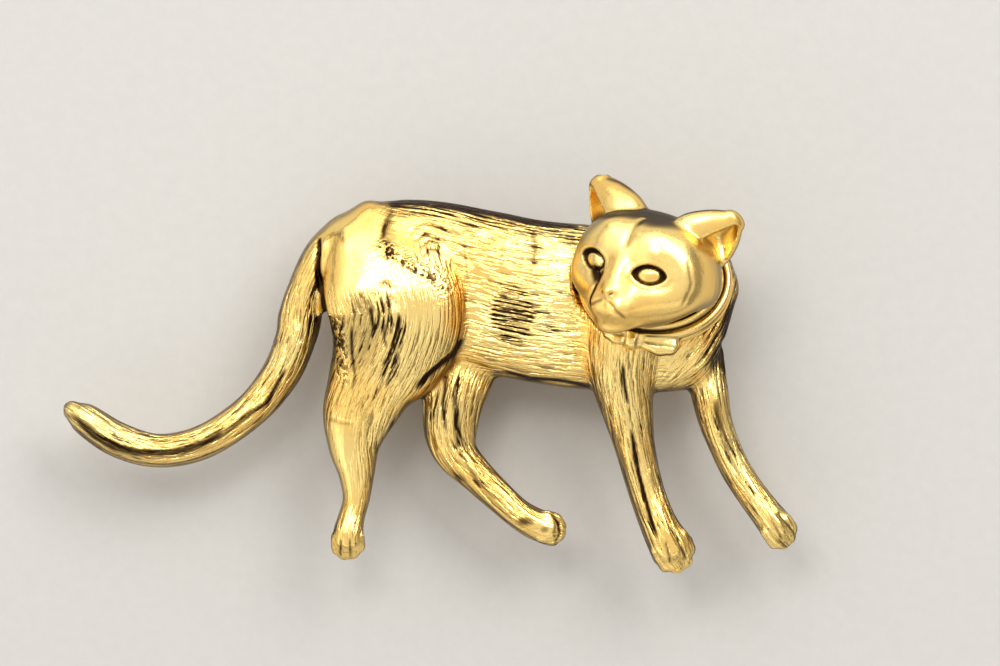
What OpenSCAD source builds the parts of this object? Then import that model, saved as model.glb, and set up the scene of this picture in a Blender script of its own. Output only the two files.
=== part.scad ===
// Walking cat brooch: a cast cat in high relief with its head turned to the front, a ribbon
// collar tied in a bow, and a plain pin across the back. It lies face up, on its pin.
// X runs from the tail to the front paws, Y from the paws to the ears, Z out of the front.

/* [Figure] */
// Length from the tail tip to the far front paw
figure_length = 64; // [56:0.5:72]
// Height from the near front paw to the ear tip
figure_height = 34.2; // [31:0.2:38]
// Height of the flank's front above the flat back
relief = 5.4; // [4.6:0.1:6.2]

/* [Trunk and limbs] */
// Height of the trunk at the chest, in the plane of the brooch
trunk_height = 14; // [12.6:0.2:15.4]
// Width of the haunch, in the plane of the brooch
haunch_width = 12.8; // [11.4:0.2:14]
// Width of the far hind leg above its paw
far_hind_width = 2.8; // [2.4:0.1:3.4]
// Width of the near front leg above its paw
near_front_width = 3.5; // [3:0.1:4.2]
// Width of the far front leg above its paw
far_front_width = 2.8; // [2.4:0.1:3.4]
// Width of the tail at its middle
tail_width = 3.1; // [2.6:0.1:3.7]
// Thickness of a toe
toe_thickness = 1.25; // [1:0.05:1.4]
// Depth of the dish in the back of the trunk
dish_depth = 2.4; // [1.6:0.1:2.8]
// Width of the rim left round the dish
rim_width = 2; // [1.6:0.1:2.6]

/* [Head] */
// Width of the skull between the cheeks
head_width = 12.6; // [11.4:0.2:13.8]
// Height of the skull from the jaw to the crown
head_height = 10; // [9:0.2:11]
// Depth of the skull from its middle to the brow
head_depth = 5; // [4.4:0.1:5.6]
// Height of the skull's middle above the flat back
head_rise = 9; // [8.4:0.1:9.8]
// Turn of the face towards the tail
head_turn = 26; // [20:1:34]
// Dip of the face towards the paws
head_dip = 7; // [2:1:12]
// Tilt of the crown towards the chest
head_tilt = 16; // [10:1:20]
// Length of an ear from the skull to its tip
ear_length = 3.9; // [3.4:0.1:4.4]
// Width of an ear at its root
ear_width = 6.4; // [5.6:0.1:7]
// Wall round the ear's hollow
ear_wall = 0.6; // [0.5:0.05:0.8]
// Width of an eye socket
eye_width = 2.9; // [2.4:0.1:3.2]
// Width of the eyeball
eyeball_width = 2.1; // [1.8:0.1:2.3]

/* [Neck and collar] */
// Width of the neck inside the collar
neck_width = 10.2; // [9.4:0.1:10.8]
// Depth of the neck inside the collar, from the nape to the throat
neck_depth = 8.2; // [7.4:0.1:9]
// Lean of the neck towards the ears
neck_lean = 20; // [14:1:26]
// Height of the collar's middle above the flat back
collar_rise = 5.6; // [5.2:0.1:6.2]
// Width of the collar's ribbon, along the neck
ribbon_width = 2; // [1.6:0.1:2.4]
// Thickness of the collar's ribbon
ribbon_thickness = 1.6; // [1.3:0.1:1.8]
// Length of the right loop of the bow
bow_loop_length = 4; // [3.4:0.1:4.6]
// Width of the bow's knot
knot_width = 1.8; // [1.5:0.1:2.1]
// Gap between pieces that seat on each other
seat_gap = 0.05; // [0.03:0.01:0.1]

/* [Pin] */
// Depth of the pin fittings behind the flat back
pin_depth = 4; // [3.6:0.1:4.8]
// Distance from the hinge to the catch
pin_span = 22; // [20:0.5:24]
// Diameter of the pin stem
stem_diameter = 0.9; // [0.7:0.05:1.1]
// Length of the hinge block, along the stem
hinge_length = 3; // [2.4:0.1:3.6]
// Width of the hinge block, up and down the figure
hinge_width = 4.8; // [4.2:0.1:5.6]
// Length of the catch, along the stem
catch_length = 2.6; // [2:0.1:3.2]
// Width of the catch, up and down the figure
catch_width = 4.8; // [4.2:0.1:5.6]
// Wall of the catch behind the stem
catch_wall = 0.8; // [0.6:0.05:1]
// Play of the stem in the catch
catch_play = 0.2; // [0.1:0.05:0.3]
// Length of the point beyond the catch
point_length = 2; // [1.6:0.1:2.6]
// Diameter of the pads that hold the hinge and the catch
pad_diameter = 6; // [5.4:0.1:6.6]
// Thickness of the pads
pad_thickness = 0.6; // [0.4:0.05:0.8]

/* [Hidden] */
gold = [0.86, 0.66, 0.25];
pale_gold = [0.92, 0.76, 0.38];
steel = [0.72, 0.70, 0.66];

// Sections of a limb, from its root to its end. Places are shares of the figure's length and
// height, widths are shares of the limb's width, and heights are shares of the relief. What
// lies below zero is ground off flat.
// Columns: along, up, width, back, middle, front
TRUNK = [
    [0.350, 0.790, 0.22, -0.10, 0.30, 0.62],
    [0.378, 0.794, 0.59, -0.24, 0.28, 0.84],
    [0.425, 0.780, 0.81, -0.34, 0.27, 0.95],
    [0.490, 0.756, 0.93, -0.40, 0.26, 1.00],
    [0.560, 0.720, 0.99, -0.42, 0.26, 0.99],
    [0.630, 0.692, 1.00, -0.42, 0.26, 0.97],
    [0.700, 0.675, 1.02, -0.42, 0.27, 1.00],
    [0.770, 0.668, 1.01, -0.42, 0.28, 1.04],
    [0.828, 0.662, 1.00, -0.40, 0.29, 1.06],
    [0.876, 0.656, 0.87, -0.34, 0.30, 1.00],
    [0.898, 0.650, 0.60, -0.18, 0.31, 0.80],
    [0.906, 0.646, 0.26,  0.02, 0.32, 0.58]
];
NEAR_HIND = [
    [0.466, 0.914, 0.30, -0.20, 0.40, 0.78],
    [0.458, 0.888, 0.64, -0.30, 0.46, 0.96],
    [0.449, 0.830, 0.93, -0.34, 0.52, 1.18],
    [0.446, 0.740, 0.97, -0.34, 0.56, 1.34],
    [0.446, 0.650, 0.93, -0.28, 0.58, 1.37],
    [0.438, 0.556, 0.78, -0.14, 0.58, 1.30],
    [0.419, 0.468, 0.62,  0.02, 0.56, 1.18],
    [0.401, 0.392, 0.49,  0.12, 0.54, 1.04],
    [0.396, 0.322, 0.36,  0.18, 0.53, 0.94],
    [0.399, 0.255, 0.255, 0.20, 0.52, 0.88],
    [0.399, 0.190, 0.185, 0.20, 0.52, 0.86],
    [0.393, 0.145, 0.180, 0.18, 0.52, 0.88],
    [0.388, 0.104, 0.200, 0.14, 0.52, 0.94],
    [0.388, 0.078, 0.212, 0.12, 0.50, 0.94]
];
FAR_HIND = [
    [0.556, 0.580, 2.10, -0.20, 0.26, 0.56],
    [0.537, 0.490, 2.10, -0.16, 0.27, 0.70],
    [0.528, 0.415, 1.84, -0.12, 0.29, 0.72],
    [0.527, 0.345, 1.62, -0.10, 0.30, 0.68],
    [0.536, 0.298, 1.34, -0.10, 0.30, 0.66],
    [0.560, 0.250, 1.10, -0.08, 0.30, 0.64],
    [0.589, 0.198, 1.00, -0.06, 0.31, 0.64],
    [0.616, 0.153, 0.94, -0.06, 0.32, 0.66],
    [0.640, 0.123, 0.92, -0.08, 0.32, 0.68],
    [0.656, 0.114, 0.94, -0.08, 0.32, 0.66]
];
NEAR_FRONT = [
    [0.786, 0.760, 1.80,  0.10, 0.60, 1.10],
    [0.776, 0.650, 2.10,  0.06, 0.62, 1.26],
    [0.764, 0.560, 1.98,  0.06, 0.62, 1.28],
    [0.760, 0.480, 1.60,  0.10, 0.62, 1.20],
    [0.768, 0.390, 1.22,  0.16, 0.62, 1.12],
    [0.777, 0.310, 1.00,  0.20, 0.62, 1.06],
    [0.787, 0.235, 0.92,  0.24, 0.62, 1.03],
    [0.798, 0.170, 0.91,  0.24, 0.62, 1.04],
    [0.812, 0.108, 0.98,  0.22, 0.62, 1.07],
    [0.825, 0.060, 1.10,  0.20, 0.60, 1.04]
];
FAR_FRONT = [
    [0.868, 0.560, 1.30, -0.10, 0.30, 0.60],
    [0.878, 0.450, 1.18, -0.10, 0.30, 0.72],
    [0.885, 0.385, 1.06, -0.08, 0.30, 0.68],
    [0.898, 0.320, 0.98, -0.08, 0.31, 0.66],
    [0.912, 0.264, 0.96, -0.06, 0.32, 0.66],
    [0.931, 0.208, 0.96, -0.06, 0.33, 0.68],
    [0.951, 0.158, 1.00, -0.06, 0.34, 0.72],
    [0.966, 0.122, 1.08, -0.06, 0.34, 0.74],
    [0.972, 0.106, 1.10, -0.06, 0.34, 0.70]
];
TAIL = [
    [0.392, 0.870, 1.30, -0.16, 0.30, 0.84],
    [0.352, 0.800, 1.10, -0.14, 0.32, 0.82],
    [0.328, 0.705, 1.06, -0.10, 0.34, 0.78],
    [0.322, 0.645, 1.24, -0.08, 0.34, 0.77],
    [0.317, 0.596, 1.16, -0.06, 0.35, 0.78],
    [0.297, 0.506, 1.10, -0.06, 0.35, 0.76],
    [0.256, 0.412, 1.00, -0.06, 0.34, 0.74],
    [0.194, 0.334, 0.98, -0.06, 0.34, 0.72],
    [0.132, 0.309, 0.96, -0.06, 0.34, 0.72],
    [0.076, 0.337, 1.00, -0.06, 0.34, 0.72],
    [0.025, 0.397, 0.96, -0.04, 0.33, 0.68]
];
ALONG = 0;
UP = 1;
WIDTH = 2;
BACK = 3;
MIDDLE = 4;
FRONT = 5;

// Toes of a paw, side by side across its end. Spread and reach are shares of the paw's width,
// size is a share of a toe's thickness.
// Columns: spread, reach, size
TOES = [
    [-0.33, 0.38, 0.92],
    [-0.12, 0.53, 1.06],
    [ 0.12, 0.51, 1.04],
    [ 0.33, 0.32, 0.90]
];
TOE_HEIGHT = 0.55; // share of the way from the paw's widest line to its front
TOE_ROOT = -0.2; // share of the paw's width, measured as the reach is
TOE_DROP = 0.35; // how far a tip lies below its root, as a share of its size

// Swellings and hollows of the head. Turn and lift are degrees from the middle of the face,
// half_turn and half_lift are how far each spreads, and height is a share of the skull's depth.
// What lies off the middle stands on both sides.
// Columns: turn, lift, half_turn, half_lift, height
FACE = [
    [  0, -36, 27, 22,  0.26],
    [  0,  -6, 11, 20,  0.11],
    [  0, -18,  9,  6,  0.17],
    [ 13, -28, 11,  9,  0.13],
    [  0, -52, 14,  8,  0.12],
    [ 15, -42, 16,  5, -0.05],
    [ 62, -20, 24, 20,  0.07],
    [108, -26, 26, 22,  0.12],
    [ 28,  22, 18, 10,  0.07],
    [ 36,  -3, 13, 10, -0.09],
    [  0,  62, 60, 16, -0.05]
];
TURN = 0;
LIFT = 1;
HALF_TURN = 2;
HALF_LIFT = 3;
HEIGHT = 4;
SKULL_FILL = 2.25; // 2 is an ellipsoid, more fills its corners
BACK_OF_SKULL = 0.85; // depth behind the skull's middle, as a share of the depth before it

EYE_TURN = 31; // degrees from the middle of the face
EYE_SLANT = 8; // degrees that the outer corner is raised
SOCKET = [1, 0.68, 0.42]; // shares of the socket's width: its width, height and depth
SOCKET_RISE = 0.05; // share of the socket's width that its middle stands out of the face
EYEBALL = [1, 0.62, 0.62]; // shares of the eyeball's width
EYEBALL_SINK = 0.17; // share of the socket's width that its middle lies in the face

// Sections of an ear, from its root in the skull to its tip. Reach is a share of the ear's
// length, width and thickness are shares of its width.
// Columns: reach, width, thickness
EAR = [
    [-0.50, 0.96, 0.56],
    [ 0.05, 0.96, 0.50],
    [ 0.52, 0.70, 0.38],
    [ 0.84, 0.38, 0.24]
];
EAR_PLACE = [0.325, 0.36, -0.14]; // shares of the head's width, height and depth
EAR_SPLAY = 46; // degrees outward
EAR_OPENING = 44; // degrees that the hollow is turned outward
HOLLOW_SHIFT = [0.08, 0.27]; // shares of the ear's length and width, up and out of its front

// Section of the collar's ribbon, with a groove between two rounded ridges
// Columns: out as a share of the thickness, along the neck as a share of the half width
RIBBON = [
    [0.00, -1.00],
    [0.70, -1.00],
    [0.95, -0.75],
    [1.00, -0.45],
    [0.86, -0.10],
    [0.76,  0.05],
    [0.84,  0.25],
    [0.92,  0.55],
    [0.80,  1.00],
    [0.00,  1.00]
];

// Sections of the neck, from inside the chest to the seat of the head
// Columns: height above the seat as a share of the neck's half depth, swell
NECK = [
    [-1.60, 1.22],
    [-0.66, 1.05],
    [-0.62, 1.00],
    [ 0.00, 1.00]
];
NECK_SHOWS = 0.15; // share of the ribbon's width that the neck stands above the collar

// Sections of a loop of the bow. Reach and drop are shares of the loop's length, width and
// thickness are shares of the knot's width.
// Columns: reach, width, thickness, drop
BOW_LOOP = [
    [0.05, 0.60, 0.60, 0.00],
    [0.40, 1.05, 0.70, 0.00],
    [0.72, 1.45, 0.74, 0.02],
    [1.00, 1.25, 0.60, 0.06]
];
LEFT_LOOP = 0.7; // the left loop's length as a share of the right one's
BOW_TILT = 14; // degrees, the right loop down
BOW_PLACE = [-0.20, 0.70]; // shares of the neck's width and of the ribbon's thickness
KNOT_STRETCH = 0.2; // extra length of the knot, as a share of its width

DISH_ROWS = [3.1, 6.5]; // the dish runs between these places in the trunk's table
DISH_FILL = 2.6;

// Places as shares of the figure's length and height
HEAD_PLACE = [0.794, 0.769];
NECK_PLACE = [0.803, 0.737];
PIN_PLACE = [0.625, 0.635];

stem_height = catch_wall + catch_play + stem_diameter / 2;
pin_floor = pin_depth - seat_gap;
collar_inner = [neck_width, neck_depth] / 2;
neck_top = ribbon_width * (0.5 + NECK_SHOWS);

function spot(shares) = [(shares[ALONG] - 0.5) * figure_length, (shares[UP] - 0.5) * figure_height];
function unit(v) = v / norm(v);
function sum_of(list) = list * [for (x = list) 1];

// Row at the fractional place t, on a smooth curve through the rows
function row_at(rows, t) =
    let (i = min(floor(t), len(rows) - 2), f = t - i,
         a = rows[max(i - 1, 0)], b = rows[i], c = rows[i + 1], d = rows[min(i + 2, len(rows) - 1)])
    b + 0.5 * f * (c - a + f * (2 * a - 5 * b + 4 * c - d + f * (3 * (b - c) + d - a)));

// Direction in which a limb runs at the fractional place t
function heading(rows, t, step = 0.1) =
    unit(spot(row_at(rows, min(t + step, len(rows) - 1))) - spot(row_at(rows, max(t - step, 0))));

// Share of a half width on an oval whose corners are filled more as fill passes 2
function oval(x, fill) = sign(x) * pow(abs(x), 2 / fill);

// One ring of a limb: an oval whose front and back halves have their own depths
function ring(centre, way, half_width, heights, sides, fill) =
    [for (k = [0 : sides - 1])
        let (a = 360 * (k + 0.5) / sides,
             across = half_width * oval(cos(a), fill),
             out = oval(sin(a), fill),
             depth = out > 0 ? heights[2] - heights[1] : heights[1] - heights[0])
        [centre.x - way.y * across, centre.y + way.x * across, heights[1] + out * depth]];

// Rings of a limb, closed by a dome where dome is its reach in half widths
function limb_rings(rows, width, steps, sides, fill, dome) =
    let (last = len(rows) - 1)
    [for (i = [0 : steps])
        let (t = last * i / steps, row = row_at(rows, t))
        ring(spot(row), heading(rows, t), row[WIDTH] * width / 2,
             relief * [row[BACK], row[MIDDLE], row[FRONT]], sides, fill),
     if (dome > 0)
        let (row = rows[last], way = heading(rows, last), half = row[WIDTH] * width / 2,
             back = row[BACK] - row[MIDDLE], front = row[FRONT] - row[MIDDLE])
        for (a = [25, 50, 75])
            ring(spot(row) + way * dome * half * sin(a), way, half * cos(a),
                 relief * (row[MIDDLE] * [1, 1, 1] + cos(a) * [back, 0, front]), sides, fill)];

// Closed skin over a list of rings with as many points each
module skin(rings) {
    sides = len(rings[0]);
    count = len(rings);
    polyhedron(
        points = [for (r = rings) each r],
        faces = [
            [for (k = [0 : sides - 1]) k],
            for (i = [0 : count - 2], k = [0 : sides - 1])
                let (n = (k + 1) % sides, a = i * sides, b = a + sides)
                each [[a + k, b + k, a + n], [a + n, b + k, b + n]],
            [for (k = [sides - 1 : -1 : 0]) (count - 1) * sides + k]
        ],
        convexity = 10
    );
}

module limb(rows, width, steps, sides, fill = 2, dome = 0) {
    skin(limb_rings(rows, width, steps, sides, fill, dome));
}

// Toes at the end of a limb, each a short rounded finger
module toes(rows, width) {
    row = rows[len(rows) - 1];
    way = heading(rows, len(rows) - 1);
    paw = row[WIDTH] * width;
    height = relief * (row[MIDDLE] + TOE_HEIGHT * (row[FRONT] - row[MIDDLE]));
    for (toe = TOES) {
        size = toe[2] * toe_thickness;
        side = [-way.y, way.x] * toe[0] * paw;
        tip = spot(row) + side + way * (toe[1] * paw - size / 2);
        root = spot(row) + side + way * TOE_ROOT * paw;
        hull() {
            translate([tip.x, tip.y, height - TOE_DROP * size])
                sphere(d = size, $fn = 8);
            translate([root.x, root.y, height])
                sphere(d = size, $fn = 8);
        }
    }
}

// The frame of the neck: its axis leans towards the ears, and zero is the collar's middle
module at_neck() {
    neck = spot(NECK_PLACE);
    translate([neck.x, neck.y, collar_rise])
        rotate([-neck_lean, 0, 0])
            children();
}

// The frame of the head: X to the viewer's right of the face, Y to the crown, Z to the nose
module at_head() {
    head = spot(HEAD_PLACE);
    translate([head.x, head.y, head_rise])
        rotate([head_dip, -head_turn, -head_tilt])
            children();
}

// Neck stump, straight inside the collar and flared below it
module neck() {
    sides = 44;
    at_neck()
        skin([for (s = NECK)
            [for (k = [0 : sides - 1])
                let (a = 360 * k / sides)
                [neck_width / 2 * s[1] * cos(a), neck_depth / 2 * s[1] * sin(a),
                 neck_top + s[0] * neck_depth / 2]]]);
}

// Shallow dish that thins the trunk from behind, between the two pads of the pin
module dish() {
    steps = 10;
    end_swell = 0.03;
    skin([for (i = [0 : steps])
        let (u = 2 * i / steps - 1, swell = sqrt(1 + end_swell - u * u),
             t = DISH_ROWS[0] + (DISH_ROWS[1] - DISH_ROWS[0]) * i / steps, row = row_at(TRUNK, t))
        ring(spot(row), heading(TRUNK, t), (row[WIDTH] * trunk_height / 2 - rim_width) * swell,
             dish_depth * swell * [-1, 0, 1], 24, DISH_FILL)]);
}

module cat_body() {
    color(gold)
        translate([0, 0, pin_depth])
            difference() {
                union() {
                    limb(TRUNK, trunk_height, 30, 32, 2.3);
                    limb(NEAR_HIND, haunch_width, 40, 24, 2.2, 0.7);
                    limb(FAR_HIND, far_hind_width, 24, 14, 2, 0.7);
                    limb(NEAR_FRONT, near_front_width, 24, 16, 2, 0.7);
                    limb(FAR_FRONT, far_front_width, 22, 14, 2, 0.7);
                    limb(TAIL, tail_width, 34, 14, 2, 1);
                    neck();
                    toes(NEAR_HIND, haunch_width);
                    toes(FAR_HIND, far_hind_width);
                    toes(NEAR_FRONT, near_front_width);
                    toes(FAR_FRONT, far_front_width);
                }
                translate([-figure_length, -figure_height, -2 * relief])
                    cube([2 * figure_length, 2 * figure_height, 2 * relief]);
                dish();
                collar_seat();
            }
}

// Direction of a turn and a lift in the frame of the head
function direction(turn, lift) = [cos(lift) * sin(turn), sin(lift), cos(lift) * cos(turn)];

// Distance of the head's skin from its middle, towards a turn and a lift
function head_radius(turn, lift) =
    let (d = direction(turn, lift),
         depth = head_depth * (d.z < 0 ? BACK_OF_SKULL : 1),
         filled = [for (x = [d.x * 2 / head_width, d.y * 2 / head_height, d.z / depth])
             pow(abs(x), SKULL_FILL)])
    1 / pow(sum_of(filled), 1 / SKULL_FILL)
    + head_depth * sum_of([for (f = FACE, side = f[TURN] == 0 ? [0] : [-1, 1])
        let (u = (turn - side * f[TURN]) / f[HALF_TURN], v = (lift - f[LIFT]) / f[HALF_LIFT])
        f[HEIGHT] * exp(-u * u - v * v)]);

// The skull's rings run from the jaw to the crown, with their points closer on the face
module skull() {
    columns = 48;
    rows = 34;
    closeness = 0.45;
    pole = 86;
    skin([for (j = [0 : rows])
        [for (i = [0 : columns - 1])
            let (u = 2 * i / columns - 1, turn = 180 * u * (closeness + (1 - closeness) * u * u),
                 lift = pole * (2 * j / rows - 1))
            head_radius(turn, lift) * direction(turn, lift)]]);
}

// An ear's outer form, or with an inset the form of its hollow
module ear_form(inset) {
    for (i = [0 : len(EAR) - 2])
        hull()
            for (s = [EAR[i], EAR[i + 1]])
                translate([0, s[0] * (ear_length - inset), 0])
                    scale([s[1] * ear_width / 2 - inset, s[2] * ear_width / 2, s[2] * ear_width / 2])
                        sphere(r = 1, $fn = 12);
}

module ears() {
    for (side = [0, 1])
        mirror([side, 0, 0])
            translate([EAR_PLACE.x * head_width, EAR_PLACE.y * head_height, EAR_PLACE.z * head_depth])
                rotate([0, 0, -EAR_SPLAY])
                    rotate([0, EAR_OPENING, 0])
                        difference() {
                            ear_form(0);
                            translate([0, HOLLOW_SHIFT[0] * ear_length, HOLLOW_SHIFT[1] * ear_width])
                                ear_form(ear_wall);
                        }
}

// The frame of an eye on the face's skin, raised by a share of the socket's width
module at_eye(side, rise) {
    turn = side * EYE_TURN;
    translate((head_radius(turn, 0) + rise * eye_width) * direction(turn, 0))
        rotate([0, turn, EYE_SLANT * side])
            children();
}

module cat_head() {
    color(pale_gold)
        translate([0, 0, pin_depth])
            difference() {
                at_head() {
                    ears();
                    difference() {
                        skull();
                        for (side = [-1, 1])
                            at_eye(side, SOCKET_RISE)
                                scale(SOCKET)
                                    sphere(d = eye_width, $fn = 18);
                    }
                    for (side = [-1, 1])
                        at_eye(side, -EYEBALL_SINK)
                            scale(EYEBALL)
                                sphere(d = eyeball_width, $fn = 16);
                }
                at_neck()
                    translate([-head_width, -head_width, neck_top + seat_gap - 2 * head_width])
                        cube(2 * head_width);
            }
}

// Hoop of ribbon round the neck's oval
module hoop() {
    steps = 44;
    sides = len(RIBBON);
    section = [for (p = RIBBON) [p[0] * ribbon_thickness, p[1] * ribbon_width / 2]];
    points = [for (i = [0 : steps - 1], p = section)
        let (a = 360 * i / steps, out = unit([cos(a) / collar_inner.x, sin(a) / collar_inner.y]))
        [collar_inner.x * cos(a) + out.x * p[0], collar_inner.y * sin(a) + out.y * p[0], p[1]]];
    faces = [for (i = [0 : steps - 1], k = [0 : sides - 1])
        let (n = (k + 1) % sides, a = i * sides, b = ((i + 1) % steps) * sides)
        each [[a + k, a + n, b + k], [a + n, b + n, b + k]]];
    polyhedron(points = points, faces = faces, convexity = 10);
}

// One loop of the bow, pulled out of the knot to one side
module bow_loop(side, length, grow) {
    for (i = [0 : len(BOW_LOOP) - 2])
        hull()
            for (s = [BOW_LOOP[i], BOW_LOOP[i + 1]])
                translate([side * s[0] * length, -side * s[3] * length, 0])
                    scale([s[2], s[1], s[2]] * knot_width / 2 + grow * [1, 1, 1])
                        sphere(r = 1, $fn = 12);
}

// Knot and loops of the bow, swelled all over by grow
module bow(grow) {
    translate([BOW_PLACE[0] * neck_width, -collar_inner.y - BOW_PLACE[1] * ribbon_thickness, 0])
        rotate([0, 0, -BOW_TILT]) {
            hull()
                for (side = [-1, 1])
                    translate([0, side * KNOT_STRETCH * knot_width / 2, 0])
                        sphere(d = knot_width + 2 * grow, $fn = 14);
            bow_loop(1, bow_loop_length, grow);
            bow_loop(-1, bow_loop_length * LEFT_LOOP, grow);
        }
}

module neck_oval(grow) {
    scale(collar_inner + grow * [1, 1])
        circle(r = 1, $fn = 44);
}

// What the collar takes out of the neck and the chest, with a gap all round
module collar_seat() {
    at_neck() {
        translate([0, 0, -ribbon_width / 2 - seat_gap])
            linear_extrude(height = ribbon_width + 2 * seat_gap)
                difference() {
                    neck_oval(ribbon_thickness + seat_gap);
                    neck_oval(-seat_gap);
                }
        bow(seat_gap);
    }
}

module bow_collar() {
    color(pale_gold)
        translate([0, 0, pin_depth])
            at_neck() {
                hoop();
                bow(0);
            }
}

// Block of the catch, whose slot opens towards the ears and holds the stem at its inner end
module catch() {
    slot = stem_diameter + 2 * catch_play;
    rotate([90, 0, 90])
        linear_extrude(height = catch_length, center = true)
            difference() {
                translate([-catch_width / 2, 0])
                    square([catch_width, pin_floor]);
                translate([0, stem_height - slot / 2])
                    square([catch_width, slot]);
            }
}

module pin_back() {
    middle = spot(PIN_PLACE);
    point_share = 0.25;
    color(steel)
        translate([middle.x, middle.y, 0]) {
            for (side = [-1, 1])
                translate([side * pin_span / 2, 0, pin_floor - pad_thickness])
                    cylinder(h = pad_thickness, d = pad_diameter, $fn = 48);
            translate([pin_span / 2 - hinge_length / 2, -hinge_width / 2, 0])
                cube([hinge_length, hinge_width, pin_floor]);
            translate([-pin_span / 2, 0, 0])
                catch();
            translate([pin_span / 2, 0, stem_height])
                rotate([0, -90, 0])
                    cylinder(h = pin_span + catch_length / 2, d = stem_diameter, $fn = 32);
            translate([-pin_span / 2 - catch_length / 2, 0, stem_height])
                rotate([0, -90, 0])
                    cylinder(h = point_length, d1 = stem_diameter, d2 = stem_diameter * point_share,
                             $fn = 32);
        }
}

cat_body();
cat_head();
bow_collar();
pin_back();
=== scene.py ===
"""Walking cat brooch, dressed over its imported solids: chased fur on the casting, a polished head with its
face, a ribbon collar with a bow, and a plain pin behind. Shapes are worked out in millimetres, in the frame
of the solids: X from the tail to the front paws, Y from the paws to the ears, Z out of the front."""

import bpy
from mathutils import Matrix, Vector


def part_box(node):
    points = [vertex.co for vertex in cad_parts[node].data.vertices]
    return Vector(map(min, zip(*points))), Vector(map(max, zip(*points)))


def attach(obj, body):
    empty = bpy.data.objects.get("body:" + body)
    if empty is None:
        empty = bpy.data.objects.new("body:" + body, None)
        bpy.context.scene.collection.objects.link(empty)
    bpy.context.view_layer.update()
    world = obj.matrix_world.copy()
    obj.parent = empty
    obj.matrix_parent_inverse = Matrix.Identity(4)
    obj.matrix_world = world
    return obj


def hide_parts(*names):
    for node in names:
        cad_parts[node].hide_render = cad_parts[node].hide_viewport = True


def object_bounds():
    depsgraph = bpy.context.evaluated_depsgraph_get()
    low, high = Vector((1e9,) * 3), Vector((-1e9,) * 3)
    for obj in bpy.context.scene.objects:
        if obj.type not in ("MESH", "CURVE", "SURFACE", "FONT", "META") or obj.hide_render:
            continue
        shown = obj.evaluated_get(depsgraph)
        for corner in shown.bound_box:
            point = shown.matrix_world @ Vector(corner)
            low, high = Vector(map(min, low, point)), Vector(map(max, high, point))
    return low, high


bl_info = {
    "name": "Walking Cat Brooch",
    "version": (1, 0, 0),
    "blender": (4, 5, 0),
    "location": "View3D > Sidebar > Brooch",
    "description": "Builds the cast cat, its head, its collar and the stage round a packed brooch",
    "category": "Object",
}

from functools import reduce
from operator import add

import bpy
import numpy as np
from bpy.props import FloatProperty, FloatVectorProperty, PointerProperty
from mathutils import Vector

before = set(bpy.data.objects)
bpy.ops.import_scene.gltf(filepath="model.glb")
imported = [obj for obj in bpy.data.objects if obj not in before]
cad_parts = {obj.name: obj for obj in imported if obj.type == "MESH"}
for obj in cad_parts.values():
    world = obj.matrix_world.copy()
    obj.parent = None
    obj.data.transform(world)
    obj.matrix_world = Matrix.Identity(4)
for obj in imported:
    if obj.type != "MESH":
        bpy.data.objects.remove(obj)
CAD_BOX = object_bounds()
MM = 0.001
BODY = "root"
WIDTH, BACK, MIDDLE, FRONT = range(2, 6)  # columns of a limb's table after its two places

# Sections of a limb, from its root to its end. Places are shares of the figure's length and height, widths
# are shares of the limb's width, and heights are shares of the relief. What lies below zero is ground off.
# Columns: along, up, width, back, middle, front
TRUNK = [
    [0.350, 0.790, 0.22, -0.10, 0.30, 0.62],
    [0.378, 0.794, 0.59, -0.24, 0.28, 0.84],
    [0.425, 0.780, 0.81, -0.34, 0.27, 0.95],
    [0.490, 0.756, 0.93, -0.40, 0.26, 1.00],
    [0.560, 0.720, 0.99, -0.42, 0.26, 0.99],
    [0.630, 0.692, 1.00, -0.42, 0.26, 0.97],
    [0.700, 0.675, 1.02, -0.42, 0.27, 1.00],
    [0.770, 0.668, 1.01, -0.42, 0.28, 1.04],
    [0.828, 0.662, 1.00, -0.40, 0.29, 1.06],
    [0.876, 0.656, 0.87, -0.34, 0.30, 1.00],
    [0.898, 0.650, 0.60, -0.18, 0.31, 0.80],
    [0.906, 0.646, 0.26, 0.02, 0.32, 0.58],
]
NEAR_HIND = [
    [0.446, 0.914, 0.28, -0.20, 0.40, 0.76],
    [0.438, 0.888, 0.52, -0.30, 0.44, 0.90],
    [0.434, 0.830, 0.77, -0.34, 0.50, 1.12],
    [0.444, 0.740, 0.98, -0.34, 0.56, 1.30],
    [0.453, 0.650, 1.03, -0.28, 0.58, 1.35],
    [0.440, 0.556, 0.82, -0.14, 0.58, 1.29],
    [0.416, 0.468, 0.59, 0.02, 0.56, 1.18],
    [0.401, 0.392, 0.49, 0.12, 0.54, 1.04],
    [0.396, 0.322, 0.36, 0.18, 0.53, 0.94],
    [0.399, 0.255, 0.255, 0.20, 0.52, 0.88],
    [0.399, 0.190, 0.185, 0.20, 0.52, 0.86],
    [0.393, 0.145, 0.180, 0.18, 0.52, 0.88],
    [0.388, 0.104, 0.205, 0.14, 0.52, 0.94],
    [0.388, 0.076, 0.224, 0.12, 0.50, 0.94],
]
FAR_HIND = [
    [0.556, 0.580, 2.10, -0.20, 0.26, 0.56],
    [0.537, 0.490, 2.10, -0.16, 0.27, 0.70],
    [0.528, 0.415, 1.84, -0.12, 0.29, 0.72],
    [0.527, 0.345, 1.62, -0.10, 0.30, 0.68],
    [0.536, 0.298, 1.34, -0.10, 0.30, 0.66],
    [0.560, 0.250, 1.10, -0.08, 0.30, 0.64],
    [0.589, 0.198, 1.00, -0.06, 0.31, 0.64],
    [0.616, 0.153, 0.94, -0.06, 0.32, 0.66],
    [0.642, 0.123, 1.00, -0.08, 0.32, 0.70],
    [0.661, 0.113, 1.02, -0.08, 0.32, 0.68],
]
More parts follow.
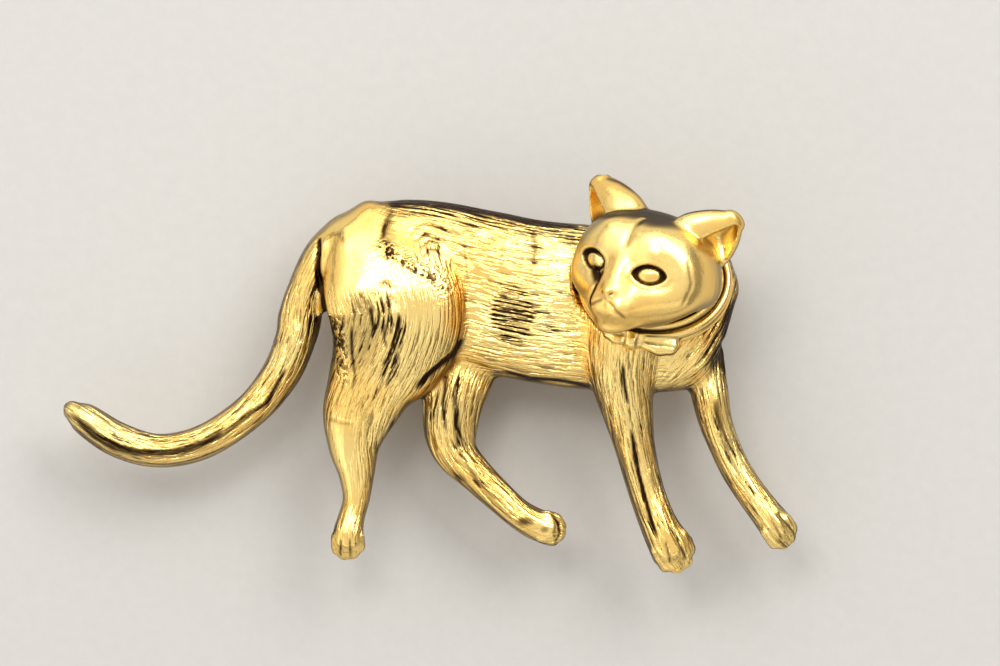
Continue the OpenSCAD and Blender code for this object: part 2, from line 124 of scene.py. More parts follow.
NEAR_FRONT = [
    [0.772, 0.760, 2.50, 0.10, 0.60, 1.08],
    [0.766, 0.650, 2.60, 0.06, 0.62, 1.24],
    [0.760, 0.560, 2.24, 0.06, 0.62, 1.28],
    [0.760, 0.480, 1.60, 0.10, 0.62, 1.20],
    [0.768, 0.390, 1.22, 0.16, 0.62, 1.12],
    [0.777, 0.310, 1.00, 0.20, 0.62, 1.06],
    [0.787, 0.235, 0.92, 0.24, 0.62, 1.03],
    [0.798, 0.170, 0.91, 0.24, 0.62, 1.04],
    [0.812, 0.108, 0.98, 0.22, 0.62, 1.07],
    [0.827, 0.059, 1.14, 0.20, 0.60, 1.04],
]
FAR_FRONT = [
    [0.868, 0.560, 1.30, -0.10, 0.30, 0.60],
    [0.878, 0.450, 1.18, -0.10, 0.30, 0.72],
    [0.885, 0.385, 1.06, -0.08, 0.30, 0.68],
    [0.898, 0.320, 0.98, -0.08, 0.31, 0.66],
    [0.912, 0.264, 0.96, -0.06, 0.32, 0.66],
    [0.931, 0.208, 0.96, -0.06, 0.33, 0.68],
    [0.951, 0.158, 1.00, -0.06, 0.34, 0.72],
    [0.966, 0.122, 1.08, -0.06, 0.34, 0.74],
    [0.972, 0.106, 1.10, -0.06, 0.34, 0.70],
]
TAIL = [
    [0.392, 0.870, 1.30, -0.16, 0.30, 0.84],
    [0.352, 0.800, 1.10, -0.14, 0.32, 0.82],
    [0.328, 0.705, 1.06, -0.10, 0.34, 0.78],
    [0.322, 0.645, 1.24, -0.08, 0.34, 0.77],
    [0.317, 0.596, 1.16, -0.06, 0.35, 0.78],
    [0.297, 0.506, 1.10, -0.06, 0.35, 0.76],
    [0.256, 0.412, 1.00, -0.06, 0.34, 0.74],
    [0.194, 0.334, 0.98, -0.06, 0.34, 0.72],
    [0.132, 0.309, 0.96, -0.06, 0.34, 0.72],
    [0.076, 0.337, 1.00, -0.06, 0.34, 0.72],
    [0.031, 0.390, 0.90, -0.04, 0.33, 0.70],
    [0.014, 0.412, 0.56, 0.02, 0.33, 0.62],
]
DISH_ROWS = (3.1, 6.5)  # the dish behind the trunk runs between these places in its table
DISH_FILL = 2.6  # power of the superellipse that the dish has across the path
DISH_SWELL = 1.03  # square of the reach of the dish's ellipse along the path
HEAD_PLACE = (0.794, 0.769)
NECK_PLACE = (0.803, 0.737)

# Chased lines of the casting. Paths are shares of the figure's length and height.
# Columns: width in mm, depth in mm, path
LINES = [
    [0.34, 0.50, [(0.348, 0.850), (0.347, 0.760), (0.353, 0.680), (0.364, 0.590)]],
    [0.55, 0.05, [(0.636, 0.875), (0.641, 0.820), (0.639, 0.765)]],
    [0.80, 0.05, [(0.456, 0.950), (0.440, 0.890), (0.429, 0.825)]],
    [0.60, 0.06, [(0.429, 0.825), (0.458, 0.790), (0.497, 0.750), (0.525, 0.705)]],
    [0.30, 0.09, [(0.419, 0.670), (0.421, 0.640), (0.424, 0.615)]],
    [0.30, 0.10, [(0.429, 0.722), (0.438, 0.735), (0.449, 0.718)]],
    [0.30, 0.10, [(0.436, 0.640), (0.437, 0.600), (0.441, 0.565)]],
    [0.26, 0.08, [(0.444, 0.700), (0.445, 0.655), (0.448, 0.620)]],
    [0.34, 0.13, [(0.460, 0.655), (0.456, 0.600), (0.449, 0.550)]],
    [0.30, 0.12, [(0.452, 0.600), (0.444, 0.540), (0.434, 0.490)]],
    [0.26, 0.10, [(0.464, 0.590), (0.456, 0.540), (0.446, 0.495)]],
    [0.26, 0.09, [(0.441, 0.520), (0.432, 0.470), (0.420, 0.430)]],
    [0.26, 0.08, [(0.393, 0.628), (0.393, 0.564), (0.399, 0.476)]],
    [0.40, 0.20, [
        (0.770, 0.366), (0.7755, 0.296), (0.780, 0.254), (0.788, 0.196), (0.797, 0.130), (0.806, 0.086),
    ]],
    [0.34, 0.13, [(0.757, 0.535), (0.762, 0.472), (0.766, 0.426)]],
    [0.55, 0.17, [
        (0.480, 0.462), (0.492, 0.490), (0.502, 0.508), (0.516, 0.530), (0.531, 0.553), (0.546, 0.596),
    ]],
    [0.50, 0.07, [(0.358, 0.393), (0.374, 0.381), (0.396, 0.376)]],
    [0.34, 0.12, [(0.593, 0.511), (0.634, 0.491), (0.674, 0.484), (0.715, 0.471)]],
    [0.26, 0.10, [(0.480, 0.842), (0.493, 0.860), (0.507, 0.853), (0.513, 0.835)]],
    [0.26, 0.10, [(0.486, 0.822), (0.497, 0.842), (0.508, 0.836), (0.515, 0.815)]],
    [0.26, 0.10, [(0.489, 0.800), (0.499, 0.822), (0.509, 0.818), (0.517, 0.797)]],
    [0.26, 0.09, [(0.470, 0.862), (0.490, 0.884), (0.512, 0.877), (0.528, 0.858)]],
    [0.40, 0.06, [(0.544, 0.850), (0.549, 0.767), (0.547, 0.666), (0.539, 0.590), (0.519, 0.539)]],
    [0.30, 0.10, [(0.520, 0.500), (0.515, 0.420), (0.520, 0.350)]],
    [0.24, 0.07, [(0.545, 0.460), (0.533, 0.375), (0.562, 0.274), (0.610, 0.172)]],
    [0.24, 0.08, [(0.880, 0.438), (0.893, 0.337), (0.920, 0.236), (0.950, 0.175)]],
    [0.26, 0.12, [(0.378, 0.090), (0.377, 0.040)]],
    [0.26, 0.12, [(0.3905, 0.090), (0.392, 0.035)]],
    [0.28, 0.12, [(0.663, 0.154), (0.673, 0.128), (0.675, 0.100), (0.667, 0.072)]],
    [0.26, 0.12, [(0.816, 0.084), (0.824, 0.020)]],
    [0.26, 0.12, [(0.832, 0.092), (0.846, 0.033)]],
    [0.26, 0.11, [(0.958, 0.142), (0.976, 0.082)]],
    [0.26, 0.11, [(0.969, 0.155), (0.990, 0.104)]],
]


def pick(values):
    """The first value, the one for a full build; the second, for a quick build, is not used."""
    full, quick = values
    return full


def numbers(rows):
    """Table as an array of floats."""
    return np.array(rows, float)


def circle(count):
    """Points of the unit circle."""
    angle = np.linspace(0, 2 * np.pi, count, endpoint=False)
    return np.stack([np.cos(angle), np.sin(angle)], 1)


def unit(vectors):
    """Vectors scaled to a length of one."""
    return vectors / np.maximum(np.linalg.norm(vectors, axis=-1, keepdims=True), 1e-12)


def step_up(x, low, high):
    """Zero below low, one above high, and 3u^2 - 2u^3 of the share u between them."""
    u = np.clip((x - low) / (high - low), 0, 1)
    return u * u * (3 - 2 * u)


def bell(x, half):
    """Bell curve exp(-(x / half)^2)."""
    return np.exp(-((x / half) ** 2))


def turned(axis, degrees):
    """Rotation matrix about the axis 0, 1 or 2 by a right-handed angle."""
    c, s = np.cos(np.radians(degrees)), np.sin(np.radians(degrees))
    i, j = (axis + 1) % 3, (axis + 2) % 3
    matrix = np.eye(3)
    matrix[i, i] = matrix[j, j] = c
    matrix[i, j], matrix[j, i] = -s, s
    return matrix


def row_at(rows, t):
    """Rows at the fractional places t, on the Catmull-Rom cubic through the rows."""
    i = np.clip(np.floor(t).astype(int), 0, len(rows) - 2)
    f = (t - i)[:, None]
    a, b, c, d = (rows[np.clip(i + k, 0, len(rows) - 1)] for k in (-1, 0, 1, 2))
    return b + 0.5 * f * (c - a + f * (2 * a - 5 * b + 4 * c - d + f * (3 * (b - c) + d - a)))


def oval(angle, fill):
    """Point of a superellipse |x|^fill + |y|^fill = 1: cosine and sine of the angle to the power 2 / fill."""
    c, s = np.cos(angle), np.sin(angle)
    return np.sign(c) * np.abs(c) ** (2 / fill), np.sign(s) * np.abs(s) ** (2 / fill)


LATTICE = 64  # cells of the noise before it repeats
STROKE_HALF = 0.24  # half width of a stroke's bell curve, as a share of the pitch
STROKE_WANDER = 1.1  # pitches by which strokes wander aside
STROKE_DEPTHS = (0.15, 0.85)  # a stroke's own noise gives no depth below the first and all above the second


def noise(seed, u, v):
    """Smooth value noise from 0 to 1: seeded random numbers on a unit lattice, blended by 3f^2 - 2f^3."""
    lattice = np.random.default_rng(seed).random((LATTICE, LATTICE))
    iu, iv = np.floor(u).astype(int), np.floor(v).astype(int)
    fu, fv = u - iu, v - iv
    fu, fv = fu * fu * (3 - 2 * fu), fv * fv * (3 - 2 * fv)
    corner = [[lattice[(iu + i) % LATTICE, (iv + j) % LATTICE] for j in (0, 1)] for i in (0, 1)]
    return (
        corner[0][0] * (1 - fu) * (1 - fv) + corner[1][0] * fu * (1 - fv)
        + corner[0][1] * (1 - fu) * fv + corner[1][1] * fu * fv
    )


def strokes(seed, along, across, pitch, length):
    """Depth from 0 to 1 of hair strokes that lie side by side. The strokes stand a pitch apart across the
    fur and wander by slow noise. Each has the section of a bell curve, and its depth changes along it by
    noise of its own with the given length."""
    wander = STROKE_WANDER * (noise(seed, along / 5, across / 2.5) - 0.5)
    place = across / pitch + wander
    row = np.floor(place)
    middle = place - row - 0.5
    depth = noise(seed + 1, along / length + 17.3 * row, row + 0.5)
    return bell(middle, STROKE_HALF) * step_up(depth, *STROKE_DEPTHS)


def dome_angles(edge, count):
    """Angles of a dome's rings, from that many degrees over its foot to as many short of its top."""
    return np.radians(np.linspace(edge, 90 - edge, count))


def put_mesh(name, points, *faces, scale=MM):
    """Mesh of points in mm and of arrays of faces that have as many corners each."""
    mesh = bpy.data.meshes.new(name)
    mesh.vertices.add(len(points))
    mesh.vertices.foreach_set("co", (points * scale).astype(np.float32).ravel())
    corners = np.concatenate([f.ravel() for f in faces])
    totals = np.concatenate([np.full(len(f), f.shape[1]) for f in faces])
    mesh.loops.add(len(corners))
    mesh.loops.foreach_set("vertex_index", corners.astype(np.int32))
    mesh.polygons.add(len(totals))
    mesh.polygons.foreach_set("loop_start", (np.cumsum(totals) - totals).astype(np.int32))
    mesh.polygons.foreach_set("use_smooth", np.ones(len(totals), bool))
    mesh.update(calc_edges=True)
    return mesh


def put_object(name, mesh):
    """Object of the mesh, at the origin."""
    thing = bpy.data.objects.new(name, mesh)
    bpy.context.scene.collection.objects.link(thing)
    return thing


def skin(rings, closed=False):
    """Closed skin over rings of points: quads between neighbouring rings, and either a fan to the middle
    of each end ring or, when closed, quads from the last ring to the first. Gives points, quads and fans."""
    count, sides = rings.shape[:2]
    index = np.arange(count * sides).reshape(count, sides)
    if closed:
        index = np.vstack([index, index[:1]])
    ahead = np.roll(index, -1, axis=1)
    quads = np.stack([index[:-1], ahead[:-1], ahead[1:], index[1:]], -1).reshape(-1, 4)
    if closed:
        return rings.reshape(-1, 3), quads, np.empty((0, 3), int)
    points = np.vstack([rings.reshape(-1, 3), rings[0].mean(0), rings[-1].mean(0)])
    first, last = np.full(sides, count * sides), np.full(sides, count * sides + 1)
    fans = np.vstack([np.stack([first, ahead[0], index[0]], 1), np.stack([last, index[-1], ahead[-1]], 1)])
    return points, quads, fans


def fuse(skins, voxel):
    """Outer skin of overlapping closed skins, remeshed in voxels of that size in mm, as points and quads."""
    offsets = np.cumsum([0] + [len(s[0]) for s in skins])
    points = np.vstack([s[0] for s in skins])
    quads, fans = (np.vstack([s[k] + o for s, o in zip(skins, offsets)]) for k in (1, 2))
    mesh = put_mesh("skins", points, quads, fans, scale=1)
    thing = put_object("skins", mesh)
    remesh = thing.modifiers.new("fuse", "REMESH")
    remesh.mode = "VOXEL"
    remesh.voxel_size = voxel
    fused = bpy.data.meshes.new_from_object(thing.evaluated_get(bpy.context.evaluated_depsgraph_get()))
    points = np.empty(len(fused.vertices) * 3, np.float32)
    fused.vertices.foreach_get("co", points)
    corners = np.empty(len(fused.loops), np.int32)
    fused.loops.foreach_get("vertex_index", corners)
    if len(corners) != 4 * len(fused.polygons):
        raise RuntimeError("the remesh of the skins gave faces that aren't quads")
    bpy.data.objects.remove(thing)
    bpy.data.meshes.remove(mesh)
    bpy.data.meshes.remove(fused)
    return points.reshape(-1, 3).astype(float), corners.reshape(-1, 4).astype(int)


class Skin:
    """A fused skin of quads, with the sums over neighbours that smooth it and shape its details."""

    def __init__(self, points, quads):
        self.points, self.quads = points, quads
        sides = np.vstack([quads[:, [0, 1]], quads[:, [1, 2]], quads[:, [2, 3]], quads[:, [3, 0]]])
        sides = np.unique(np.sort(sides, axis=1), axis=0)
        self.ends = np.concatenate([sides[:, 0], sides[:, 1]])
        self.starts = np.concatenate([sides[:, 1], sides[:, 0]])
        self.count = np.bincount(self.ends, minlength=len(points))[:, None]

    def around(self, values):
        """Mean of the neighbours' values."""
        n = len(self.points)
        columns = [np.bincount(self.ends, values[self.starts, k], n) for k in range(values.shape[1])]
        return np.stack(columns, 1) / self.count

    def normals(self):
        """Unit normals: the sum of the cross products of the quads' diagonals at each point."""
        p = self.points[self.quads]
        face = np.cross(p[:, 2] - p[:, 0], p[:, 3] - p[:, 1])
        corners = self.quads.ravel()
        each = np.repeat(face, 4, axis=0)
        return unit(np.stack([np.bincount(corners, each[:, k], len(self.points)) for k in range(3)], 1))

    def soften(self, rounds, share=0.5):
        """Moves each point a share of the way to the mean of its neighbours, round after round."""
        for _ in range(rounds):
            self.points += share * (self.around(self.points) - self.points)

    def fill_creases(self, rounds, share):
        """Fillets: only where the mean of the neighbours stands outside the skin does a point move to it,
        by a share that may differ from point to point."""
        for _ in range(rounds):
            normals = self.normals()
            gap = np.sum((self.around(self.points) - self.points) * normals, 1)
            self.points += (share * np.maximum(gap, 0))[:, None] * normals

    def spread(self, values, rounds):
        """Numbers at the points, smoothed by the mean of the neighbours."""
        values = values[:, None]
        for _ in range(rounds):
            values = 0.5 * values + 0.5 * self.around(values)
        return values[:, 0]


class Limb:
    """A profile carried along a path. The profile is an oval with its own depths behind and in front, and
    the path and the oval's sizes run on cubics through the rows of a table."""

    STEPS = 200
    SIDES = 144
    PARTS = 24  # how many parts the points are located in, which keeps the arrays small

    def __init__(self, rows, width, size, fill=2.0, dome=0.0):
        self.fill, self.dome = fill, dome
        self.rows = row_at(numbers(rows), np.linspace(0, len(rows) - 1, self.STEPS))
        self.path = size.spots(self.rows[:, :2])
        self.way = unit(np.gradient(self.path, axis=0))
        self.side = np.stack([-self.way[:, 1], self.way[:, 0]], 1)
        self.half = self.rows[:, WIDTH] * width / 2
        self.heights = self.rows[:, [BACK, MIDDLE, FRONT]] * size.relief
        gaps = np.linalg.norm(np.diff(self.path, axis=0), axis=1)
        self.run = np.concatenate([[0], np.cumsum(gaps)])
        angles = np.linspace(0, 2 * np.pi, self.SIDES + 1)
        rings = self.rings(self.path, self.side, self.half, self.heights, angles)
        girth = np.cumsum(np.linalg.norm(np.diff(rings, axis=1), axis=2), axis=1)
        girth = np.pad(girth, ((0, 0), (1, 0)))
        self.girth = girth - girth[:, self.SIDES // 4][:, None]

    def rings(self, path, side, half, heights, angles):
        """Ovals across the path: the side vector times half the width times the oval's first term, and from
        the middle height the depth in front or behind times its second term."""
        across, out = oval(angles, self.fill)
        depth = np.where(out > 0, heights[:, 2:] - heights[:, 1:2], heights[:, 1:2] - heights[:, :1])
        flat = path[:, None] + side[:, None] * (half[:, None] * across)[..., None]
        return np.concatenate([flat, (heights[:, 1:2] + depth * out)[..., None]], 2)

    def skin(self):
        """Closed skin of the limb, with a dome of rings past its end where it has one."""
        angles = (np.arange(self.SIDES) + 0.5) * 2 * np.pi / self.SIDES
        rings = self.rings(self.path, self.side, self.half, self.heights, angles)
        if self.dome:
            lean = dome_angles(6, 14)[:, None]
            path = self.path[-1] + self.way[-1] * self.dome * self.half[-1] * np.sin(lean)
            side = np.repeat(self.side[-1:], len(lean), 0)
            middle = self.heights[-1, 1]
            heights = middle + (self.heights[-1] - middle) * np.cos(lean)
            dome = self.rings(path, side, self.half[-1] * np.cos(lean[:, 0]), heights, angles)
            rings = np.concatenate([rings, dome])
        return skin(rings)

    def locate(self, points):
        """Where points lie on the limb: the run along its path, the arc across its front from the middle
        line, and roughly how far outside its skin they are, all in mm."""
        nearest = np.empty(len(points), int)
        for part in np.array_split(np.arange(len(points)), self.PARTS):
            gap = points[part, None, :2] - self.path[None]
            nearest[part] = np.argmin((gap**2).sum(2), 1)
        gap = points[:, :2] - self.path[nearest]
        beyond = (gap * self.way[nearest]).sum(1)
        run = self.run[nearest] + beyond
        at_end = (nearest == 0) | (nearest == self.STEPS - 1)
        step = np.clip(np.interp(run, self.run, np.arange(self.STEPS)), 0, self.STEPS - 1.001)
        low = step.astype(int)
        part = step - low
        half = np.interp(step, np.arange(self.STEPS), self.half)
        heights = self.heights[low] * (1 - part)[:, None] + self.heights[low + 1] * part[:, None]
        x = (gap * self.side[nearest]).sum(1) / half
        rise = points[:, 2] - heights[:, 1]
        deep = np.where(rise > 0, heights[:, 2] - heights[:, 1], heights[:, 1] - heights[:, 0])
        y = rise / deep
        size = (np.abs(x) ** self.fill + np.abs(y) ** self.fill) ** (1 / self.fill)
        outside = (size - 1) * np.minimum(half, deep)
        outside = np.where(at_end, np.hypot(np.maximum(outside, 0), beyond), outside)
        power = self.fill / 2
        angle = np.arctan2(np.sign(y) * np.abs(y) ** power, np.sign(x) * np.abs(x) ** power)
        turn = np.clip(np.mod(angle, 2 * np.pi) / (2 * np.pi) * self.SIDES, 0, self.SIDES - 0.001)
        left = turn.astype(int)
        more = turn - left
        lower = self.girth[low, left] * (1 - more) + self.girth[low, left + 1] * more
        upper = self.girth[low + 1, left] * (1 - more) + self.girth[low + 1, left + 1] * more
        return run, lower * (1 - part) + upper * part, outside


class Size:
    """The sizes of the panel in mm, and what follows from them."""

    def __init__(self, scene):
        for group in (scene.brooch_cat, scene.brooch_head, scene.brooch_collar):
            for name in group.bl_rna.properties.keys():
                value = getattr(group, name)
                if isinstance(value, float):
                    turns = group.bl_rna.properties[name].unit == "ROTATION"
                    setattr(self, name, float(np.degrees(value)) if turns else value / MM)
        self.neck_top = self.ribbon_width * 0.65

    def spots(self, shares):
        """Places in the plane from shares of the figure's length and height."""
        return (np.asarray(shares, float) - 0.5) * [self.figure_length, self.figure_height]

    def head_frame(self):
        """Middle and axes of the head: X to the right of the face, Y to the crown, Z to the nose."""
        place = np.append(self.spots(HEAD_PLACE), self.head_rise + self.pin_depth)
        return place, turned(2, -self.head_tilt) @ turned(1, -self.head_turn) @ turned(0, self.head_dip)

    def neck_frame(self):
        """Middle of the collar and axes of the neck, whose Z runs along it to the head."""
        place = np.append(self.spots(NECK_PLACE), self.collar_rise + self.pin_depth)
        return place, turned(0, -self.neck_lean)

    def neck_half(self):
        """Half the width and half the depth of the neck."""
        return np.array([self.neck_width, self.neck_depth]) / 2

    def off_neck(self, points):
        """How far points of the neck's frame stand out from its oval: the share by which they are outside
        it, times the mean of its two halves."""
        half = self.neck_half()
        return (np.hypot(*(points[:, :2] / half).T) - 1) * half.mean()


def out_of(frame_of, points):
    """Points of a frame, given as its place and axes, in the brooch's own frame."""
    place, axes = frame_of
    return place + points @ axes.T


def into(frame_of, points):
    """Points of the brooch's own frame in a frame given as its place and axes."""
    place, axes = frame_of
    return (points - place) @ axes


def dish_rise(points, size):
    """Height of the ground back above zero: a shallow dish behind the trunk, a superellipse across the
    path and an ellipse along it, and zero outside it."""
    places = np.linspace(*DISH_ROWS, 40)
    rows = row_at(numbers(TRUNK), places)
    path = size.spots(rows[:, :2])
    half = rows[:, WIDTH] * size.trunk_height / 2 - size.rim_width
    share = 2 * np.linspace(0, 1, len(path)) - 1
    gap = points[:, None, :2] - path[None]
    nearest = np.argmin((gap**2).sum(2), 1)
    middle = path[nearest]
    across = np.linalg.norm(points[:, :2] - middle, axis=1)
    swell = np.sqrt(np.maximum(DISH_SWELL - share[nearest] ** 2, 0))
    reach = half[nearest] * swell
    inside = np.clip(1 - (across / reach) ** DISH_FILL, 0, 1)
    beyond = (nearest == 0) | (nearest == len(path) - 1)
    return np.where(beyond & (across > reach), 0, size.dish_depth * swell * inside ** (1 / DISH_FILL))


def chased(points, path, width):
    """How deep in a chased line each point lies, from 0 to 1: a bell curve of its distance from the path,
    which thins out at both ends."""
    ends = np.asarray(path)
    lengths = np.linalg.norm(np.diff(ends, axis=0), axis=1)
    before = np.cumsum(lengths) - lengths
    best, run = np.full(len(points), 1e9), np.zeros(len(points))
    for start, end, length, ahead in zip(ends[:-1], ends[1:], lengths, before):
        share = np.clip((points[:, :2] - start) @ (end - start) / length**2, 0, 1)
        gap = np.linalg.norm(points[:, :2] - start - share[:, None] * (end - start), axis=1)
        closer = gap < best
        best = np.where(closer, gap, best)
        run = np.where(closer, ahead + share * length, run)
    run = run / lengths.sum()
    return bell(best, width / 2) * np.sqrt(np.clip(np.minimum(run, 1 - run) * 6, 0, 1))


def drawn(points, rows, size, gain=1.0):
    """Greatest over the rows of depth * min(gain * chased, 1), so a gain over one flattens the middle."""
    total = np.zeros(len(points))
    for width, depth, path in rows:
        line = np.minimum(gain * chased(points, size.spots(path), width), 1)
        total = np.maximum(total, depth * line)
    return total


def capsule(start, end, radius, steps=24, sides=32):
    """Closed skin of a rounded finger: circles across the line from start to end, whose radius follows a
    quarter circle before each end."""
    start, end = np.asarray(start, float), np.asarray(end, float)
    way = unit(end - start)
    side = unit(np.cross(way, [0.0, 0.0, 1.0]))
    up = np.cross(side, way)
    lean = np.linspace(-88, 88, steps) * np.pi / 180
    middles = np.where(lean[:, None] < 0, start, end) + way * (radius * np.sin(lean))[:, None]
    angle = np.linspace(0, 2 * np.pi, sides, endpoint=False)
    circle = np.cos(angle)[:, None] * side + np.sin(angle)[:, None] * up
    return skin(middles[:, None] + (radius * np.cos(lean))[:, None, None] * circle)


# Toes of a paw. Spread and reach are shares of the paw's width, size is a share of a toe's thickness.
# Columns: spread, reach, size
TOES = [[-0.33, 0.38, 0.92], [-0.12, 0.53, 1.06], [0.12, 0.51, 1.04], [0.33, 0.32, 0.90]]
TOE_HEIGHT = 0.55  # share of the way from the paw's widest line to its front
TOE_ROOT = -0.2  # share of the paw's width, measured as the reach is
TOE_DROP = 0.35  # how far a tip lies below its root, as a share of its size

# Sections of the neck, from inside the chest to the seat of the head
# Columns: height above the seat as a share of the neck's half depth, swell
NECK = [[-1.60, 1.22], [-0.66, 1.05], [-0.62, 1.00], [0.00, 1.00]]


def toe_skins(limb, size):
    """A rounded finger for each toe, from the root inside the paw to its drooping tip."""
    end, way, side = limb.path[-1], limb.way[-1], limb.side[-1]
    paw = 2 * limb.half[-1]
    middle, front = limb.heights[-1, 1:]
    height = middle + TOE_HEIGHT * (front - middle)
    skins = []
    for spread, reach, share in TOES:
        thick = share * size.toe_thickness
        root = end + side * spread * paw + way * TOE_ROOT * paw
        tip = end + side * spread * paw + way * (reach * paw - thick / 2)
        skins.append(capsule([*root, height], [*tip, height - TOE_DROP * thick], thick / 2))
    return skins


def neck_skin(size):
    """Ovals along the neck's axis, swelled by the second column of the table."""
    half = size.neck_half()
    ring = circle(120) * half
    places = np.interp(np.linspace(0, 1, 60), np.linspace(0, 1, len(NECK)), range(len(NECK)))
    rows = np.stack([np.interp(places, range(len(NECK)), column) for column in np.transpose(NECK)], 1)
    rise = size.neck_top + rows[:, :1] * half[1] + np.zeros(len(ring))
    rings = np.concatenate([rows[:, 1:2, None] * ring[None], rise[..., None]], 2)
    points, quads, fans = skin(rings)
    return out_of(size.neck_frame(), points) - [0, 0, size.pin_depth], quads, fans


def body_limbs(size):
    """The limbs of the casting by name."""
    return {
        "trunk": Limb(TRUNK, size.trunk_height, size, 2.8),
        "near_hind": Limb(NEAR_HIND, size.haunch_width, size, 2.6, 0.7),
        "far_hind": Limb(FAR_HIND, size.far_hind_width, size, 2, 0.7),
        "near_front": Limb(NEAR_FRONT, size.near_front_width, size, 2, 0.7),
        "far_front": Limb(FAR_FRONT, size.far_front_width, size, 2, 0.7),
        "tail": Limb(TAIL, size.tail_width, size, 2, 1.0),
    }


def chest_fur(size):
    """Path that lends the chest its own fur direction. It adds no shape."""
    return Limb(CHEST, size.trunk_height, size, 2)


# How each limb's fur is chased. The set keeps neighbours' fur coordinates apart, depth is in mm, pitch and
# length are those of the strokes in mm, and fillet is the share by which creases beside the limb are filled.
# Columns: set, depth, pitch, length, fillet
FUR = {
    "trunk": [0, 0.034, 0.52, 2.2, 0.35],
    "near_hind": [1, 0.032, 0.55, 3.4, 0.30],
    "far_hind": [2, 0.075, 0.62, 3.2, 0.45],
    "near_front": [1, 0.075, 0.62, 4.0, 0.90],
    "far_front": [1, 0.070, 0.60, 3.0, 0.45],
    "tail": [2, 0.080, 0.62, 3.4, 0.25],
    "chest": [2, 0.062, 0.60, 3.0, 0.35],
}
FUR_SETS = 3
# Voxels in mm for a full and for a quick build. The body's keeps the piece under 200,000 triangles once its
# back is thinned.
BODY_VOXEL = (0.177, 0.26)
HEAD_VOXEL = (0.115, 0.22)
COLLAR_VOXEL = (0.075, 0.14)
CHASED_FROM = (0.25, 0.9)  # mm over the ground back between which the chasing sets in
CHASED_FACING = (-0.7, -0.4)  # and the same for the part of the normal that faces the front
CREASE = (0.004, 0.03)  # mm by which the neighbours stand out where a crease starts and where it is full
SMOOTH_ROUNDS = (110, 60)  # for a full and for a quick build
STRENGTH_RANGE = (0.05, 3)  # limits of the chasing's strength
NECK_EDGE = (1.1, 1.3)  # the painted shade on the seat ends between these shares of the neck's oval
SMOOTHED = [[0.478, 0.830, 3.6, 3.4, 0.5], [0.400, 0.900, 4.5, 1.8, 0.5]]  # as SPOTS: share of smoothing
THIN_BACK = (-0.9, 0.93)  # what faces backwards more than this is thinned by this share
SEAT_WALL = 3.0  # how steep the walls of the ribbon's seat are
SEAT_REACH = 1.2  # mm beside the ribbon that its seat may take
BROAD = (1.9, 1.6, 0.6)  # pitch, length and depth of the broader strokes, as shares of the fine ones
FULL_STROKE = 0.10  # mm of depth at which a stroke is at its darkest
STROKE_DARK = 0.35  # share of the antiquing that it then has
FULL_LINE = 0.16  # mm of depth at which a chased line has all of it
# Share of the dark colour painted as shade in the creases
CREASE_PAINTED_SHADE = 0.9
# Share of the dark colour painted as shade on the seat under the ribbon
SEAT_PAINTED_SHADE = 0.6
SIDE_PAINTED_REFLECTION = 0.58  # share of the dark colour painted on the steep sides as a dark reflection
SIDE_FACING = (0.30, 0.70)  # the part of the normal that faces the front, where it is full and where it ends
BACK_FACING = (-0.35, -0.05)  # and where it starts again towards the back
OWNER_BLEND = 0.35  # distance in mm over which one limb's fur gives way to the next one's

# Where the strength passes one, heavy dark gaps paint dark reflections into the deeper strokes.
# Spots where the chasing is weaker or stronger than on the rest. Places are shares of the figure's length
# and height, radii are in mm, and strength is added to one.
# Columns: along, up, radius along, radius up, strength
SPOTS = [
    [0.400, 0.810, 4.0, 3.2, -0.90],
    [0.480, 0.700, 2.4, 2.4, -0.70],
    [0.470, 0.850, 1.6, 1.6, -0.60],
    [0.456, 0.625, 0.8, 1.5, 0.80],
    [0.446, 0.520, 0.8, 1.6, 0.80],
    [0.488, 0.925, 3.5, 0.8, 0.75],
    [0.545, 0.915, 3.5, 0.8, 0.75],
    [0.600, 0.893, 3.5, 0.8, 0.75],
    [0.655, 0.877, 3.5, 0.8, 0.75],
    [0.695, 0.855, 1.8, 0.9, 0.90],
    [0.893, 0.590, 1.3, 3.4, 1.20],
    [0.400, 0.930, 3.0, 1.5, -0.90],
    [0.437, 0.655, 0.8, 1.6, 0.60],
    [0.379, 0.330, 1.5, 2.9, -0.90],
    [0.387, 0.200, 1.3, 2.2, -0.80],
    [0.787, 0.295, 0.55, 2.0, -0.70],
    [0.797, 0.200, 0.55, 1.8, -0.70],
    [0.375, 0.730, 3.0, 5.0, -0.55],
    [0.6095, 0.653, 1.70, 2.4, 1.90],
    [0.610, 0.780, 4.5, 1.4, -0.45],
    [0.652, 0.119, 1.5, 1.0, -0.85],
    [0.388, 0.062, 1.6, 1.2, -0.85],
    [0.826, 0.055, 1.7, 1.2, -0.80],
    [0.968, 0.125, 1.6, 1.3, -0.80],
]
# Patches of painted dark reflection on the plate: as SPOTS, with the darkening from 0 to 1 as the strength
PAINTED_DARK_PATCHES = [
    [0.404, 0.610, 2.0, 3.6, 0.42],
    [0.443, 0.860, 0.8, 2.4, 0.42],
    [0.640, 0.820, 0.8, 2.2, 0.30],
    [0.6095, 0.653, 1.5, 2.2, 0.32],
    [0.905, 0.620, 0.8, 3.4, 0.55],
    [0.654, 0.640, 1.2, 2.0, 0.32],
    [0.418, 0.691, 2.2, 1.0, 0.36],
    [0.890, 0.545, 1.1, 1.3, 0.40],
    [0.628, 0.131, 0.95, 0.45, 0.70],
    [0.6535, 0.110, 0.42, 0.30, 0.55],
]
